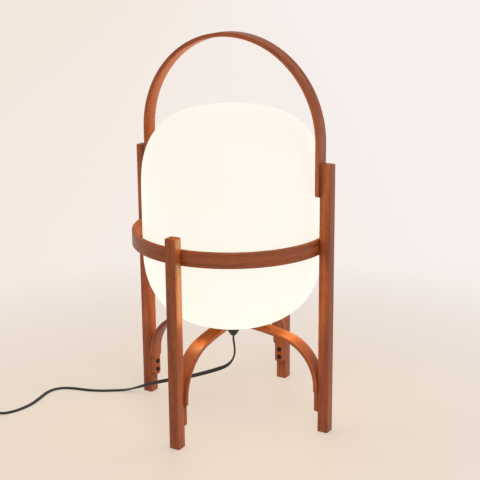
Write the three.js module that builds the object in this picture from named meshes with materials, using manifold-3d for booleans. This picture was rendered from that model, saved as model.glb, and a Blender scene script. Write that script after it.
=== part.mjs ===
// Lantern table lamp: four square legs on a cross, a bentwood hoop, handle and two
// crossing arches, an opal globe standing on the crossing, and a flat lead with an
// in-line rocker switch, a stored coil and a plug. Millimetres, +Z up, the origin on
// the table at the middle of the four feet. The tall legs stand at +X and -X.
import * as THREE from 'three';
import { mergeVertices } from 'three/addons/utils/BufferGeometryUtils.js';
import Module from 'manifold-3d';

const wasm = await Module();
wasm.setup();

// Clearances: a glued or bolted joint, a lapped one, a piece in its hole, and the overrun of
// a cut; and how near two corners of a mesh are the same one.
const glueGap = 0.1;
const lapGap = 0.3;
const holePlay = 0.25;
const overrun = 2;
const weldWithin = 1e-4;

// Legs: square stock; the short ones end a little above the hoop.
const leg = { size: 16, aboveHoop: 18.1, chamfer: 1.1 };

// Bent strips: one stock for the hoop, the handle and the two arches.
const strip = { width: 22, thick: 6, edge: 0.7 };
const hoop = { aboveCrown: 118.8, play: 9.25, segments: 64 };
const handle = {
  overGlobe: 97.6,
  straight: 72.75,
  onLeg: 46.5,
  corner: 5,
  boltLow: 11,
  boltPitch: 22,
  steps: 18,
};
const arch = {
  foot: 29,
  corner: 4.5,
  straight: 38,
  bend: 71.5,
  rise: 7.1,
  tongue: 32.5,
  boltLow: 8.5,
  boltPitch: 13,
  steps: 6,
};

// Button-head bolts with a hexagon socket, one size throughout.
const bolt = { shank: 2, head: 3.8, headHeight: 2.3, socket: 1.35, socketDepth: 1.4, bite: 9.5 };

// Opal globe: a barrel that rounds into a domed top and a flatter bottom with a mouth.
const globe = {
  radius: 129.7,
  lower: 119.6,
  barrel: 75,
  upper: 124.1,
  lowPower: 2.5,
  highPower: 2.85,
  wall: 3,
  mouth: 42,
  segments: 44,
  lowSteps: 7,
  highSteps: 9,
};

// Seat of the globe: a clear ring under the rim of the glass and up inside its mouth, round
// the low collar of a domed tray that follows the crossing.
const gasket = { thick: 0.33, foot: 1.4, upstand: 2.2, height: 3.4, play: 0.3 };
const tray = { thick: 1.2, wall: 1.2, collar: 1.5, steps: 3 };
const roundSides = 26;

// Threaded tube through the crossing with its washer and nut, and the black bell below.
const nipple = { radius: 5, bore: 3.4, below: 11, above: 6 };
const washer = { radius: 10, thick: 1.5 };
const nut = { flats: 13, height: 4 };
const gland = { height: 20.5, play: 1, tip: 3.3, power: 1.8, wall: 1.4, floor: 3, steps: 5 };

// Lampholder, worked out from the bulb's cap outwards, and the bulb.
const holder = {
  sleevePlay: 1.1,
  sleeveWall: 0.6,
  sleeveHeight: 22,
  coreRim: 0.7,
  corePlay: 0.5,
  skirtThick: 3.9,
  skirtTaper: 0.8,
  skirtHeight: 36,
  wall: 2,
  capHeight: 17,
  capCone: 7,
};
const bulb = {
  capRadius: 13.2,
  capWall: 0.6,
  capHeight: 25,
  threads: 5,
  threadDepth: 0.6,
  tip: 4,
  tipHeight: 2,
  neckPlay: 0.4,
  neckHeight: 33,
  radius: 30,
  centre: 77,
  shoulderTurn: 32,
  wall: 1,
  neckSteps: 5,
  ballSteps: 8,
};

// Flat twin lead. Each row of a route is a place and the way its wide side faces there.
const lead = { width: 5.8, thick: 2.8, sides: 8, gap: 0.3 };
const leadSteps = 64;
const leadRoute = [
  [1.2, 0.2, 103, -0.5, 0.86, 0],
  [1.9, 0.3, 95, -0.5, 0.86, 0],
  [1.2, 0.1, 87.5, -0.4, 0.9, 0.1],
  [-2.2, -0.3, 79, -0.3, 0.9, 0.3],
  [-8, -1, 71.5, -0.2, 0.8, 0.6],
  [-15.5, -2, 66, 0, 0.6, 0.8],
  [-27, -3.5, 60.2, 0, 0.3, 1],
  [-44, -5.7, 52.8, 0, 0.1, 1],
  [-67, -8.8, 43.7, 0, 0, 1],
  [-92, -12, 35.5, 0, 0, 1],
  [-116.6, -15.3, 27.3, 0, -0.1, 1],
  [-134, -17.6, 21.2, 0, -0.3, 0.9],
  [-152, -20, 14, 0.1, -0.6, 0.7],
  [-168, -22.8, 7.4, 0.2, -0.8, 0.4],
  [-183, -27, 2.8, 0.3, -1, 0.1],
  [-198.6, -35.6, 1.6, 0.5, -1, 0],
  [-214, -45.6, 1.6, 0.5, -1, 0],
  [-231, -53.5, 1.6, 0.3, -1, 0],
  [-247, -57.8, 1.6, 0.3, -1, 0],
  [-262, -61.8, 1.6, 0.4, -1, 0],
  [-274.5, -68.2, 1.6, 0.7, -0.7, 0],
  [-282.5, -79, 1.6, 0.9, -0.3, 0],
  [-284.5, -92.5, 1.6, 1, 0, 0],
  [-282, -108, 1.6, 1, 0.1, 0],
  [-278.5, -124, 1.6, 1, 0.2, 0],
  [-276, -142, 1.6, 1, 0, 0],
  [-277, -160, 1.6, 1, -0.2, 0],
  [-281, -176, 1.6, 0.9, -0.4, 0],
  [-288.3, -190.6, 2.4, 0.8, -0.7, 0],
  [-298, -200.7, 5.6, 0.67, -0.74, 0],
];

// In-line rocker switch, lying on the table.
const inline = {
  at: [-335.8, -234.4],
  heading: 222,
  length: 64,
  width: 27,
  neck: 12,
  base: 8,
  height: 16.4,
  edge: 1.6,
  pocketLength: 33,
  pocketWidth: 22,
  floor: 1.8,
  roof: 1.6,
  screwFromMiddle: 22.5,
};
const taperShares = [0.37, 0.3, 0.2];
const rocker = {
  length: 19,
  width: 11.6,
  depth: 5,
  rise: 4.2,
  tilt: 6,
  pivot: 12.4,
  endPlay: 0.85,
  sidePlay: 0.4,
};
const rockerPin = { radius: 0.9, hold: 1.2 };
const bezel = { wall: 2, flange: 1.1, flangeHeight: 0.9, depth: 6 };
const contact = { length: 7, width: 5, thick: 0.8, underRocker: 0.6, endPlay: 2 };
const switchScrew = { shank: 1.2, head: 2.3, headHeight: 1.4, sunk: 0.4, length: 10 };

// The stored length: a flat round coil in two layers, wound clockwise.
const coil = {
  at: [-406.6, -235.5],
  start: 252,
  inner: 27.4,
  pitch: 3.45,
  layer: 6.4,
  turnsIn: 3,
  turnsOut: 3.25,
  stepsPerTurn: 24,
  sides: 6,
};
const tie = { angle: 50, width: 8, thick: 0.7, play: 0.45, under: 0.05 };
const linkSteps = 18;
const linkRoute = [
  [-371.5, -266.1, 7.6, 0.67, -0.74, 0.1],
  [-379.6, -271.1, 6.4, 0.4, -0.6, 0.6],
  [-389.6, -274.4, 4.9, 0.1, -0.3, 1],
  [-399.5, -275.4, 4.2, 0, 0, 1],
];

// Two-pin plug, lying beside the coil.
const plug = {
  at: [-431.2, -191],
  heading: 62,
  thick: 13.8,
  width: 35,
  length: 34,
  front: 26,
  rear: 13,
  edge: 1.6,
  pinRadius: 2,
  pinLength: 19,
  pinPitch: 18.6,
  pinBite: 8,
  relief: 24,
  reliefRoot: 5.4,
  reliefTip: 3.9,
  ribs: 3,
  ribDepth: 0.7,
};
const cornerShares = [0.22, 0.62, 0.86];
const tailSteps = 12;
const tailRoute = [
  [-438.2, -207.2, 9.8, -0.3, 0.2, 1],
  [-435.9, -200.9, 8.1, -0.7, 0.4, 0.5],
];

// Finishes.
const finish = (color, roughness, metalness = 0) =>
  new THREE.MeshStandardMaterial({ color, roughness, metalness });
const cherry = finish(0x8a4526, 0.5);
const opal = finish(0xfff6e2, 0.25);
const blackSteel = finish(0x26282a, 0.4, 0.7);
const zinc = finish(0xb8bab8, 0.35, 0.9);
const brass = finish(0xb8954a, 0.3, 0.9);
const whiteEnamel = finish(0xf0eee8, 0.45);
const blackPlastic = finish(0x1c1c1d, 0.5);
const softBlack = finish(0x1a1a1b, 0.65);
const frosted = finish(0xf7f4ea, 0.3);
const clearRubber = finish(0xe8e2d4, 0.4);
const ceramic = finish(0xe9e5da, 0.4);

const quarter = Math.PI / 2;
const turned = THREE.MathUtils.degToRad;

// Distances from the middle: the hoop clears the globe, and the legs stand round the hoop.
const stripInner = globe.radius + hoop.play;
const stripOuter = stripInner + strip.thick;
const innerFace = stripOuter + glueGap;
const legMiddle = innerFace + leg.size / 2;

// The arches' line: upright, a tight bend, and a long flat bend over the middle.
const archSpring = arch.foot + arch.straight;
const archReach = stripOuter - arch.bend;
const archTurn = quarter - 2 * Math.atan(arch.rise / archReach);
const crownRadius = arch.bend + archReach / Math.cos(archTurn);
const crown = archSpring + arch.bend + arch.rise;
const crownCentre = crown - crownRadius;
const crossingAt = (r) => crownCentre + Math.sqrt(crownRadius ** 2 - r ** 2);
const crossingUnder = crown - strip.thick;

// The highest that an arm reaches under a ring of this radius, which is at the arm's edges.
const armAt = (r) => crossingAt(Math.sqrt(r ** 2 - (strip.width / 2) ** 2));

// Heights of the globe, whose rim rests on the seat ring, and of what stands round it.
const globeDip = (r) =>
  globe.lower * (1 - (r / globe.radius) ** globe.lowPower) ** (1 / globe.lowPower);
const rimLow = armAt(globe.mouth) + glueGap + gasket.thick + glueGap;
const barrelLow = rimLow + globeDip(globe.mouth);
const barrelHigh = barrelLow + globe.barrel;
const globeTop = barrelHigh + globe.upper;
const hoopLow = crown + hoop.aboveCrown;
const handleApex = globeTop + handle.overGlobe + strip.thick;
const handleSpring = handleApex - stripOuter;
const handleFoot = handleSpring - handle.straight;
const tallLeg = handleFoot + handle.onLeg;
const shortLeg = hoopLow + strip.width + leg.aboveHoop;

function solid(geometry) {
  const bare = geometry.clone();
  bare.deleteAttribute('normal');
  bare.deleteAttribute('uv');
  const merged = mergeVertices(bare, weldWithin);
  return new wasm.Manifold(new wasm.Mesh({
    numProp: 3,
    vertProperties: merged.attributes.position.array,
    triVerts: merged.index.array,
  }));
}

function geometryOf(manifold) {
  const { vertProperties, triVerts } = manifold.getMesh();
  const geometry = new THREE.BufferGeometry();
  geometry.setAttribute('position', new THREE.BufferAttribute(vertProperties, 3));
  geometry.setIndex(new THREE.BufferAttribute(triVerts, 1));
  geometry.computeVertexNormals();
  return geometry;
}

const cut = (geometry, tools) =>
  geometryOf(tools.reduce((body, tool) => body.subtract(solid(tool)), solid(geometry)));

const shared = (geometry, tool) => geometryOf(solid(geometry).intersect(solid(tool)));

const joined = (geometry, other) => geometryOf(solid(geometry).add(solid(other)));

function piece(name, geometry, material, at = [0, 0, 0]) {
  const mesh = new THREE.Mesh(geometry, material);
  mesh.name = name;
  mesh.position.set(...at);
  return mesh;
}

function grouped(...members) {
  const group = new THREE.Group();
  group.add(...members);
  return group;
}

// A profile of [radius, height] pairs turned about Z, listed upwards along its outside.
function revolved(profile, segments) {
  const points = profile.map(([r, z]) => new THREE.Vector2(r, z));
  return new THREE.LatheGeometry(points, segments).rotateX(quarter);
}

// The same for a ring: the profile comes back to its first point.
const ringOf = (profile, segments) => revolved([...profile, profile[0]], segments);

// A shape drawn in the XZ plane and thickened along Y about it, with chamfered edges.
function slab(shape, depth, edge, steps) {
  return new THREE.ExtrudeGeometry(shape, {
    depth: depth - 2 * edge,
    bevelEnabled: edge > 0,
    bevelThickness: edge,
    bevelSize: edge,
    bevelOffset: -edge,
    bevelSegments: 1,
    curveSegments: steps,
  }).translate(0, 0, edge - depth / 2).rotateX(quarter);
}

// A shape drawn in plan and raised from a floor height, its edges chamfered.
function raised(shape, low, high, edge, steps) {
  return slab(shape, high - low, edge, steps).rotateX(-quarter).translate(0, 0, (low + high) / 2);
}

function rod(radius, length, sides = 10) {
  return new THREE.CylinderGeometry(radius, radius, length, sides).rotateX(quarter);
}

const rodAlongX = (radius, length, z) => rod(radius, length).rotateY(quarter).translate(0, 0, z);

function block(length, width, low, high) {
  return new THREE.BoxGeometry(length, width, high - low).translate(0, 0, (low + high) / 2);
}

// Bolt heights, used by the strips' holes, the legs' holes and the bolts themselves.
const archBolts = [arch.foot + arch.boltLow, arch.foot + arch.boltLow + arch.boltPitch];
const handleBolts = [handleFoot + handle.boltLow, handleFoot + handle.boltLow + handle.boltPitch];
const hoopBolt = hoopLow + strip.width / 2;
const hoopSeat = stripInner * Math.cos(Math.PI / hoop.segments);

function legPiece(name, height, bolts) {
  const half = leg.size / 2;
  const c = leg.chamfer;
  const section = new THREE.Shape([
    new THREE.Vector2(c - half, -half),
    new THREE.Vector2(half - c, -half),
    new THREE.Vector2(half, c - half),
    new THREE.Vector2(half, half - c),
    new THREE.Vector2(half - c, half),
    new THREE.Vector2(c - half, half),
    new THREE.Vector2(-half, half - c),
    new THREE.Vector2(-half, c - half),
  ]);
  const post = raised(section, 0, height, c, 1);
  const deep = bolt.bite + holePlay;
  const holes = bolts.map((z) =>
    rodAlongX(bolt.shank + holePlay, 2 * deep, z).translate(-half, 0, 0));
  return piece(name, cut(post, holes), cherry, [legMiddle, 0, 0]);
}

function boltPiece(name, underHead, z) {
  const { shank, head, headHeight, socket, socketDepth } = bolt;
  const length = stripOuter - underHead + glueGap + bolt.bite;
  const profile = [[0, -length], [shank, -length], [shank, 0], [head, 0]];
  const domeSteps = 2;
  for (let i = 1; i <= domeSteps; i += 1) {
    const angle = (i / domeSteps) * quarter;
    const r = socket + (head - socket) * (i === domeSteps ? 1 / domeSteps : Math.cos(angle));
    profile.push([r, headHeight * Math.sin(angle)]);
  }
  profile.push([0, headHeight]);
  const recess = rod(socket, 2 * socketDepth, 6).translate(0, 0, headHeight);
  const body = cut(revolved(profile, 10), [recess]).rotateY(-quarter);
  return piece(name, body, blackSteel, [underHead - glueGap, 0, z]);
}

// The face that a strip turns to its leg: a tongue with round corners, then full width.
function faceOutline(foot, corner, tongue, shoulder, top) {
  const half = tongue / 2;
  const wide = strip.width / 2 + overrun;
  const outline = new THREE.Shape();
  outline.moveTo(corner - half, foot);
  outline.absarc(half - corner, foot + corner, corner, -quarter, 0, false);
  outline.lineTo(half, shoulder - (wide - half));
  outline.lineTo(wide, shoulder);
  outline.lineTo(wide, top);
  outline.lineTo(-wide, top);
  outline.lineTo(-wide, shoulder);
  outline.lineTo(-half, shoulder - (wide - half));
  outline.absarc(corner - half, foot + corner, corner, Math.PI, 3 * quarter, false);
  return slab(outline, 2 * (innerFace + overrun), 0, 3).rotateZ(quarter);
}

// Crossing arch: its bent strip, cut to the outline of its feet and half-lapped.
function archPiece(name, keepUpper) {
  const side = stripOuter;
  const tight = arch.bend - strip.thick;
  const flat = crownRadius - strip.thick;
  const shape = new THREE.Shape();
  shape.moveTo(side, arch.foot);
  shape.absarc(archReach, archSpring, arch.bend, 0, archTurn, false);
  shape.absarc(0, crownCentre, crownRadius, archTurn, Math.PI - archTurn, false);
  shape.absarc(-archReach, archSpring, arch.bend, Math.PI - archTurn, Math.PI, false);
  shape.lineTo(-side, arch.foot);
  shape.lineTo(-stripInner, arch.foot);
  shape.absarc(-archReach, archSpring, tight, Math.PI, Math.PI - archTurn, true);
  shape.absarc(0, crownCentre, flat, Math.PI - archTurn, archTurn, true);
  shape.absarc(archReach, archSpring, tight, archTurn, 0, true);
  shape.lineTo(stripInner, arch.foot);
  const bent = slab(shape, strip.width, strip.edge, arch.steps);
  const face = faceOutline(arch.foot, arch.corner, leg.size, arch.foot + arch.tongue + overrun,
    crown + overrun);
  const halving = crown - strip.thick / 2;
  const notch = strip.width + 2 * lapGap;
  const lap = keepUpper
    ? block(notch, notch, crossingUnder - overrun, halving + lapGap / 2)
    : block(notch, notch, halving - lapGap / 2, crown + overrun);
  const holes = archBolts.map((z) => rodAlongX(bolt.shank + holePlay, 2 * legMiddle, z));
  const centre = rod(nipple.radius + holePlay, 4 * strip.thick, 20).translate(0, 0, crown);
  return piece(name, cut(shared(bent, face), [lap, centre, ...holes]), cherry);
}

// Handle: straight ends on the tall legs and a half circle over the globe.
function handlePiece() {
  const shape = new THREE.Shape();
  shape.moveTo(stripOuter, handleFoot);
  shape.absarc(0, handleSpring, stripOuter, 0, Math.PI, false);
  shape.lineTo(-stripOuter, handleFoot);
  shape.lineTo(-stripInner, handleFoot);
  shape.absarc(0, handleSpring, stripInner, Math.PI, 0, true);
  shape.lineTo(stripInner, handleFoot);
  const bent = slab(shape, strip.width, strip.edge, handle.steps);
  const face = faceOutline(handleFoot, handle.corner, strip.width, handleSpring,
    handleApex + overrun);
  const holes = handleBolts.map((z) => rodAlongX(bolt.shank + holePlay, 2 * legMiddle, z));
  return piece('handle_band', cut(shared(bent, face), holes), cherry);
}

function hoopPiece() {
  const low = hoopLow;
  const high = low + strip.width;
  const e = strip.edge;
  const band = ringOf([
    [stripInner, low + e],
    [stripInner + e, low],
    [stripOuter - e, low],
    [stripOuter, low + e],
    [stripOuter, high - e],
    [stripOuter - e, high],
    [stripInner + e, high],
    [stripInner, high - e],
  ], hoop.segments);
  const alongX = rodAlongX(bolt.shank + holePlay, 2 * legMiddle, hoopBolt);
  return piece('hoop_band', cut(band, [alongX, alongX.clone().rotateZ(quarter)]), cherry);
}

// One side of the lamp at a quarter turn: its leg and every bolt driven into it.
function side(name, turn, tall) {
  const rows = [...archBolts.map((z, i) => [`arch_bolt_${name}_${i + 1}`, stripInner, z]),
    [`hoop_bolt_${name}`, hoopSeat, hoopBolt]];
  if (tall) {
    rows.push(...handleBolts.map((z, i) => [`handle_bolt_${name}_${i + 1}`, stripInner, z]));
  }
  const post = legPiece(`leg_${name}`, tall ? tallLeg : shortLeg, rows.map((row) => row[2]));
  const group = grouped(post, ...rows.map((row) => boltPiece(...row)));
  group.rotation.z = turn * quarter;
  return group;
}

// Globe wall: a power curve from the barrel to the mouth, the barrel, and one to the top.
function globeSide(inset) {
  const radius = globe.radius - inset;
  const start = Math.acos((globe.mouth / radius) ** (globe.lowPower / 2));
  const profile = [];
  for (let i = 0; i <= globe.lowSteps; i += 1) {
    const angle = start * (1 - i / globe.lowSteps);
    profile.push([
      radius * Math.cos(angle) ** (2 / globe.lowPower),
      barrelLow - (globe.lower - inset) * Math.sin(angle) ** (2 / globe.lowPower),
    ]);
  }
  for (let i = 0; i < globe.highSteps; i += 1) {
    const angle = (quarter * i) / globe.highSteps;
    profile.push([
      radius * Math.cos(angle) ** (2 / globe.highPower),
      barrelHigh + (globe.upper - inset) * Math.sin(angle) ** (2 / globe.highPower),
    ]);
  }
  profile.push([0, globeTop - inset]);
  return profile;
}

function globePiece() {
  const profile = [...globeSide(globe.wall).reverse(), ...globeSide(0)];
  return piece('opal_globe', revolved(profile, globe.segments), opal);
}

// The crossing's upper face falls away from the middle, and the tray follows it.
const trayRadius = globe.mouth - gasket.play - gasket.upstand - gasket.play;
const trayUnder = (r) => crossingAt(r) + lapGap;
const trayOver = (r) => trayUnder(r) + tray.thick;

function trayPiece() {
  const hole = nipple.radius + holePlay;
  const wallInner = trayRadius - tray.wall;
  const outTo = (reach) => Array.from({ length: tray.steps + 1 }, (_, i) =>
    hole + ((reach - hole) * i) / tray.steps);
  const lip = trayOver(trayRadius) + tray.collar;
  const profile = [
    ...outTo(trayRadius).map((r) => [r, trayUnder(r)]),
    [trayRadius, lip],
    [wallInner, lip],
    ...outTo(wallInner).reverse().map((r) => [r, trayOver(r)]),
  ];
  return piece('gallery_tray', ringOf(profile, roundSides), whiteEnamel);
}

function gasketPiece() {
  const inner = trayRadius + gasket.play;
  const step = globe.mouth - gasket.play;
  const outer = globe.mouth + gasket.foot;
  const under = (r) => armAt(r) + glueGap;
  const top = rimLow + gasket.height;
  const profile = [
    [inner, under(inner)],
    [outer, under(outer)],
    [outer, barrelLow - globeDip(outer) - lapGap],
    [step, rimLow - glueGap],
    [step, top],
    [inner, top],
  ];
  return piece('globe_gasket', ringOf(profile, roundSides), clearRubber);
}

// Heights up the middle of the lamp.
const washerTop = crossingUnder - glueGap - (crossingAt(0) - crossingAt(washer.radius));
const holderFoot = trayOver(nipple.radius) + glueGap;

function middlePieces() {
  const tube = [
    [nipple.bore, crossingUnder - nipple.below],
    [nipple.radius, crossingUnder - nipple.below],
    [nipple.radius, holderFoot + nipple.above],
    [nipple.bore, holderFoot + nipple.above],
  ];
  const hole = nipple.radius + holePlay;
  const disc = [
    [hole, washerTop - washer.thick],
    [washer.radius, washerTop - washer.thick],
    [washer.radius, washerTop],
    [hole, washerTop],
  ];
  const nutTop = washerTop - washer.thick - glueGap;
  const hexagon = rod(nut.flats / Math.sqrt(3), nut.height, 6)
    .translate(0, 0, nutTop - nut.height / 2);
  const bore = rod(hole, 3 * nut.height, 20).translate(0, 0, nutTop);
  return [
    piece('nipple_tube', ringOf(tube, 20), zinc),
    piece('crossing_washer', ringOf(disc, 24), zinc),
    piece('crossing_nut', cut(hexagon, [bore]), zinc),
  ];
}

// Black bell that hides the nut and lets the lead out of its tip, its side a power curve.
const glandReach = washer.radius + gland.play + gland.wall;
const glandTop = crossingUnder - lapGap - (crossingAt(0) - crossingAt(glandReach));
const glandTip = glandTop - gland.height;

function glandSide(inset, foot) {
  return Array.from({ length: gland.steps + 1 }, (_, i) => {
    const z = foot + ((glandTop - foot) * i) / gland.steps;
    const swell = 1 - ((glandTop - z) / gland.height) ** gland.power;
    return [gland.tip + (glandReach - gland.tip) * swell - inset, z];
  });
}

function glandPiece() {
  const floor = glandTip + gland.floor;
  const inside = glandSide(gland.wall, floor).reverse();
  const profile = [[0, glandTip], ...glandSide(0, glandTip), ...inside, [0, floor]];
  return piece('gland_cone', revolved(profile, 20), softBlack);
}

const sleeveInner = bulb.capRadius + holder.sleevePlay;
const coreRadius = sleeveInner + holder.sleeveWall + holder.coreRim;
const skirtInner = coreRadius + holder.corePlay;
const capOuter = skirtInner + holder.skirtThick;

function holderPieces() {
  const h = holder;
  const hole = nipple.radius + holePlay;
  const capTop = holderFoot + h.capHeight;
  const shoulder = holderFoot + h.capCone;
  const cap = ringOf([
    [hole, holderFoot],
    [capOuter - h.capCone, holderFoot],
    [capOuter, shoulder],
    [capOuter, capTop],
    [capOuter - h.wall, capTop],
    [capOuter - h.wall, shoulder + h.wall],
    [capOuter - h.capCone, holderFoot + h.wall],
    [hole, holderFoot + h.wall],
  ], 28);
  const skirtLow = capTop + lapGap;
  const skirtHigh = skirtLow + h.skirtHeight;
  const skirt = ringOf([
    [skirtInner, skirtLow],
    [capOuter, skirtLow],
    [capOuter, skirtLow + h.wall],
    [capOuter - h.skirtTaper, skirtLow + 2 * h.wall],
    [capOuter - h.skirtTaper - h.wall / 2, skirtHigh],
    [skirtInner, skirtHigh],
  ], 28);
  const coreTop = capTop + h.wall;
  const coreLow = shoulder + h.wall + h.corePlay;
  const coreFoot = capOuter - h.wall - h.corePlay;
  const core = revolved([
    [0, coreLow],
    [coreFoot, coreLow],
    [coreFoot, capTop],
    [coreRadius, capTop],
    [coreRadius, coreTop],
    [0, coreTop],
  ], 24);
  const sleeveLow = coreTop + glueGap;
  const sleeve = ringOf([
    [sleeveInner, sleeveLow],
    [sleeveInner + h.sleeveWall, sleeveLow],
    [sleeveInner + h.sleeveWall, sleeveLow + h.sleeveHeight],
    [sleeveInner, sleeveLow + h.sleeveHeight],
  ], 24);
  return [
    piece('holder_cap', cap, whiteEnamel),
    piece('holder_skirt', skirt, whiteEnamel),
    piece('holder_core', core, ceramic),
    piece('holder_sleeve', sleeve, brass),
  ];
}

// The bulb stands on the core: a threaded cap with a contact, and a hollow glass.
const bulbFoot = holderFoot + holder.capHeight + holder.wall + lapGap;

function bulbPieces() {
  const b = bulb;
  const shoulder = bulbFoot + b.tipHeight;
  const step = (b.capHeight - b.tipHeight) / (2 * b.threads);
  const thread = Array.from({ length: 2 * b.threads + 1 }, (_, i) =>
    [b.capRadius - (i % 2 ? 0 : b.threadDepth), shoulder + i * step]);
  const bore = b.capRadius - b.threadDepth - b.capWall;
  const throat = bore - b.neckPlay;
  const cap = [[0, bulbFoot], [b.tip, bulbFoot], [b.tip, shoulder], ...thread,
    [bore, bulbFoot + b.capHeight], [bore, shoulder + b.capWall], [0, shoulder + b.capWall]];
  const glassSide = (inset) => {
    const ball = b.radius - inset;
    const low = -turned(b.shoulderTurn);
    const neck = new THREE.QuadraticBezierCurve(
      new THREE.Vector2(throat - inset, bulbFoot + b.neckHeight),
      new THREE.Vector2(throat - inset + (b.radius - throat) / 4, bulbFoot + (b.neckHeight + b.centre) / 2),
      new THREE.Vector2(ball * Math.cos(low), bulbFoot + b.centre + ball * Math.sin(low)),
    ).getPoints(b.neckSteps).map((p) => [p.x, p.y]);
    const arc = Array.from({ length: b.ballSteps }, (_, i) => {
      const angle = low + ((quarter - low) * (i + 1)) / b.ballSteps;
      const r = i + 1 < b.ballSteps ? ball * Math.cos(angle) : 0;
      return [r, bulbFoot + b.centre + ball * Math.sin(angle)];
    });
    return [[throat - inset, shoulder + b.tipHeight], ...neck, ...arc];
  };
  const glass = [...glassSide(b.wall).reverse(), ...glassSide(0)];
  return [
    piece('bulb_cap', revolved(cap, 18), zinc),
    piece('bulb_glass', revolved(glass, 18), frosted),
  ];
}

// A path whose points stay where they are put, with the way its flat side faces at each.
class FlatPath extends THREE.Curve {
  constructor(points, wide) {
    super();
    this.points = points;
    this.wide = wide;
  }

  getPoint(t) {
    const at = t * (this.points.length - 1);
    const i = Math.min(Math.floor(at), this.points.length - 2);
    return this.points[i].clone().lerp(this.points[i + 1], at - i);
  }

  getSpacedPoints() {
    return this.points;
  }

  computeFrenetFrames() {
    const last = this.points.length - 1;
    const tangents = this.points.map((_, i) => new THREE.Vector3()
      .subVectors(this.points[Math.min(i + 1, last)], this.points[Math.max(i - 1, 0)]).normalize());
    const normals = tangents.map((tangent, i) =>
      this.wide[i].clone().addScaledVector(tangent, -this.wide[i].dot(tangent)).normalize());
    const binormals = tangents.map((tangent, i) =>
      new THREE.Vector3().crossVectors(tangent, normals[i]));
    return { tangents, normals, binormals };
  }
}

// The lead's section: two cores side by side in one jacket, drawn as a long oval.
function leadSection(sides) {
  return new THREE.Shape(Array.from({ length: sides }, (_, i) => {
    const angle = ((i + 0.5) * 2 * Math.PI) / sides;
    const across = Math.cos(angle) / Math.cos(Math.PI / sides);
    const through = Math.sin(angle) / Math.sin((Math.floor(sides / 4) + 0.5) * 2 * Math.PI / sides);
    return new THREE.Vector2((across * lead.width) / 2, (through * lead.thick) / 2);
  }));
}

const sweep = (path, sides) => new THREE.ExtrudeGeometry(leadSection(sides), {
  steps: path.points.length - 1,
  extrudePath: path,
  bevelEnabled: false,
});

// An end of a stretch: a place, the way out of the piece that it meets, and its facing.
function endRows([x, y, z], [dx, dy, dz], facing) {
  return [lead.gap, lead.gap + lead.width].map((d) =>
    [x + d * dx, y + d * dy, z + d * dz, ...facing]);
}

// A free stretch: through the rows of its route, straight at both of its ends.
function stretch(name, start, route, end, steps) {
  const rows = [...start, ...route, ...end.reverse()];
  const places = rows.map(([x, y, z]) => new THREE.Vector3(x, y, z));
  const facings = rows.map((row) => new THREE.Vector3(...row.slice(3)).normalize());
  const curve = new THREE.CatmullRomCurve3(places, false, 'centripetal');
  const points = curve.getSpacedPoints(steps);
  const wide = points.map((_, i) => {
    const at = curve.getUtoTmapping(i / steps) * (rows.length - 1);
    const low = Math.min(Math.floor(at), rows.length - 2);
    return facings[low].clone().lerp(facings[low + 1], at - low).normalize();
  });
  return {
    mesh: piece(name, sweep(new FlatPath(points, wide), lead.sides), softBlack),
    length: curve.getLength(),
  };
}

// The coil lies on the band of its tie.
const coilLow = tie.under + tie.thick + tie.play;

// The coil's centreline: in on the lower layer, up over the half turn, out on the upper.
function coilPath() {
  const steps = Math.round((coil.turnsIn + coil.turnsOut) * coil.stepsPerTurn);
  const low = coilLow + lead.width / 2;
  const points = Array.from({ length: steps + 1 }, (_, i) => {
    const turn = i / coil.stepsPerTurn;
    const radius = coil.inner + coil.pitch * Math.abs(turn - coil.turnsIn);
    const climb = THREE.MathUtils.smoothstep(turn, coil.turnsIn - 0.25, coil.turnsIn + 0.25);
    const angle = turned(coil.start) - 2 * Math.PI * turn;
    return new THREE.Vector3(
      coil.at[0] + radius * Math.cos(angle),
      coil.at[1] + radius * Math.sin(angle),
      low + coil.layer * climb,
    );
  });
  const beyond = (a, b) => a.clone().addScaledVector(a.clone().sub(b).setZ(0).normalize(), lead.width);
  points.unshift(beyond(points[0], points[1]));
  points.push(beyond(points.at(-1), points.at(-2)));
  return new FlatPath(points, points.map(() => new THREE.Vector3(0, 0, 1)));
}

// The least gap between turns, measured between the corners of rings over half a turn apart.
function leastGap(geometry, rings, apart) {
  const { position } = geometry.attributes;
  const seen = new Map();
  for (let i = 0; i < position.count; i += 1) {
    const at = new THREE.Vector3().fromBufferAttribute(position, i);
    seen.set(at.toArray().map((v) => v.toFixed(3)).join(), at);
  }
  const corners = [...seen.values()];
  const ringOfCorner = corners.map((corner) => rings.reduce((best, centre, i) =>
    (centre.distanceTo(corner) < rings[best].distanceTo(corner) ? i : best), 0));
  let least = Infinity;
  corners.forEach((a, i) => corners.forEach((b, j) => {
    if (ringOfCorner[j] - ringOfCorner[i] > apart) {
      least = Math.min(least, a.distanceTo(b));
    }
  }));
  return least;
}

const inlineTurn = turned(inline.heading);
const plugTurn = turned(plug.heading);

// A place on the line through a piece lying on the table, ahead of its own origin.
const ahead = (at, turn, distance, z) =>
  [at[0] + distance * Math.cos(turn), at[1] + distance * Math.sin(turn), z];
const along = (turn, sense) => [sense * Math.cos(turn), sense * Math.sin(turn), 0];
const across = (turn) => [-Math.sin(turn), Math.cos(turn), 0];

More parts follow.
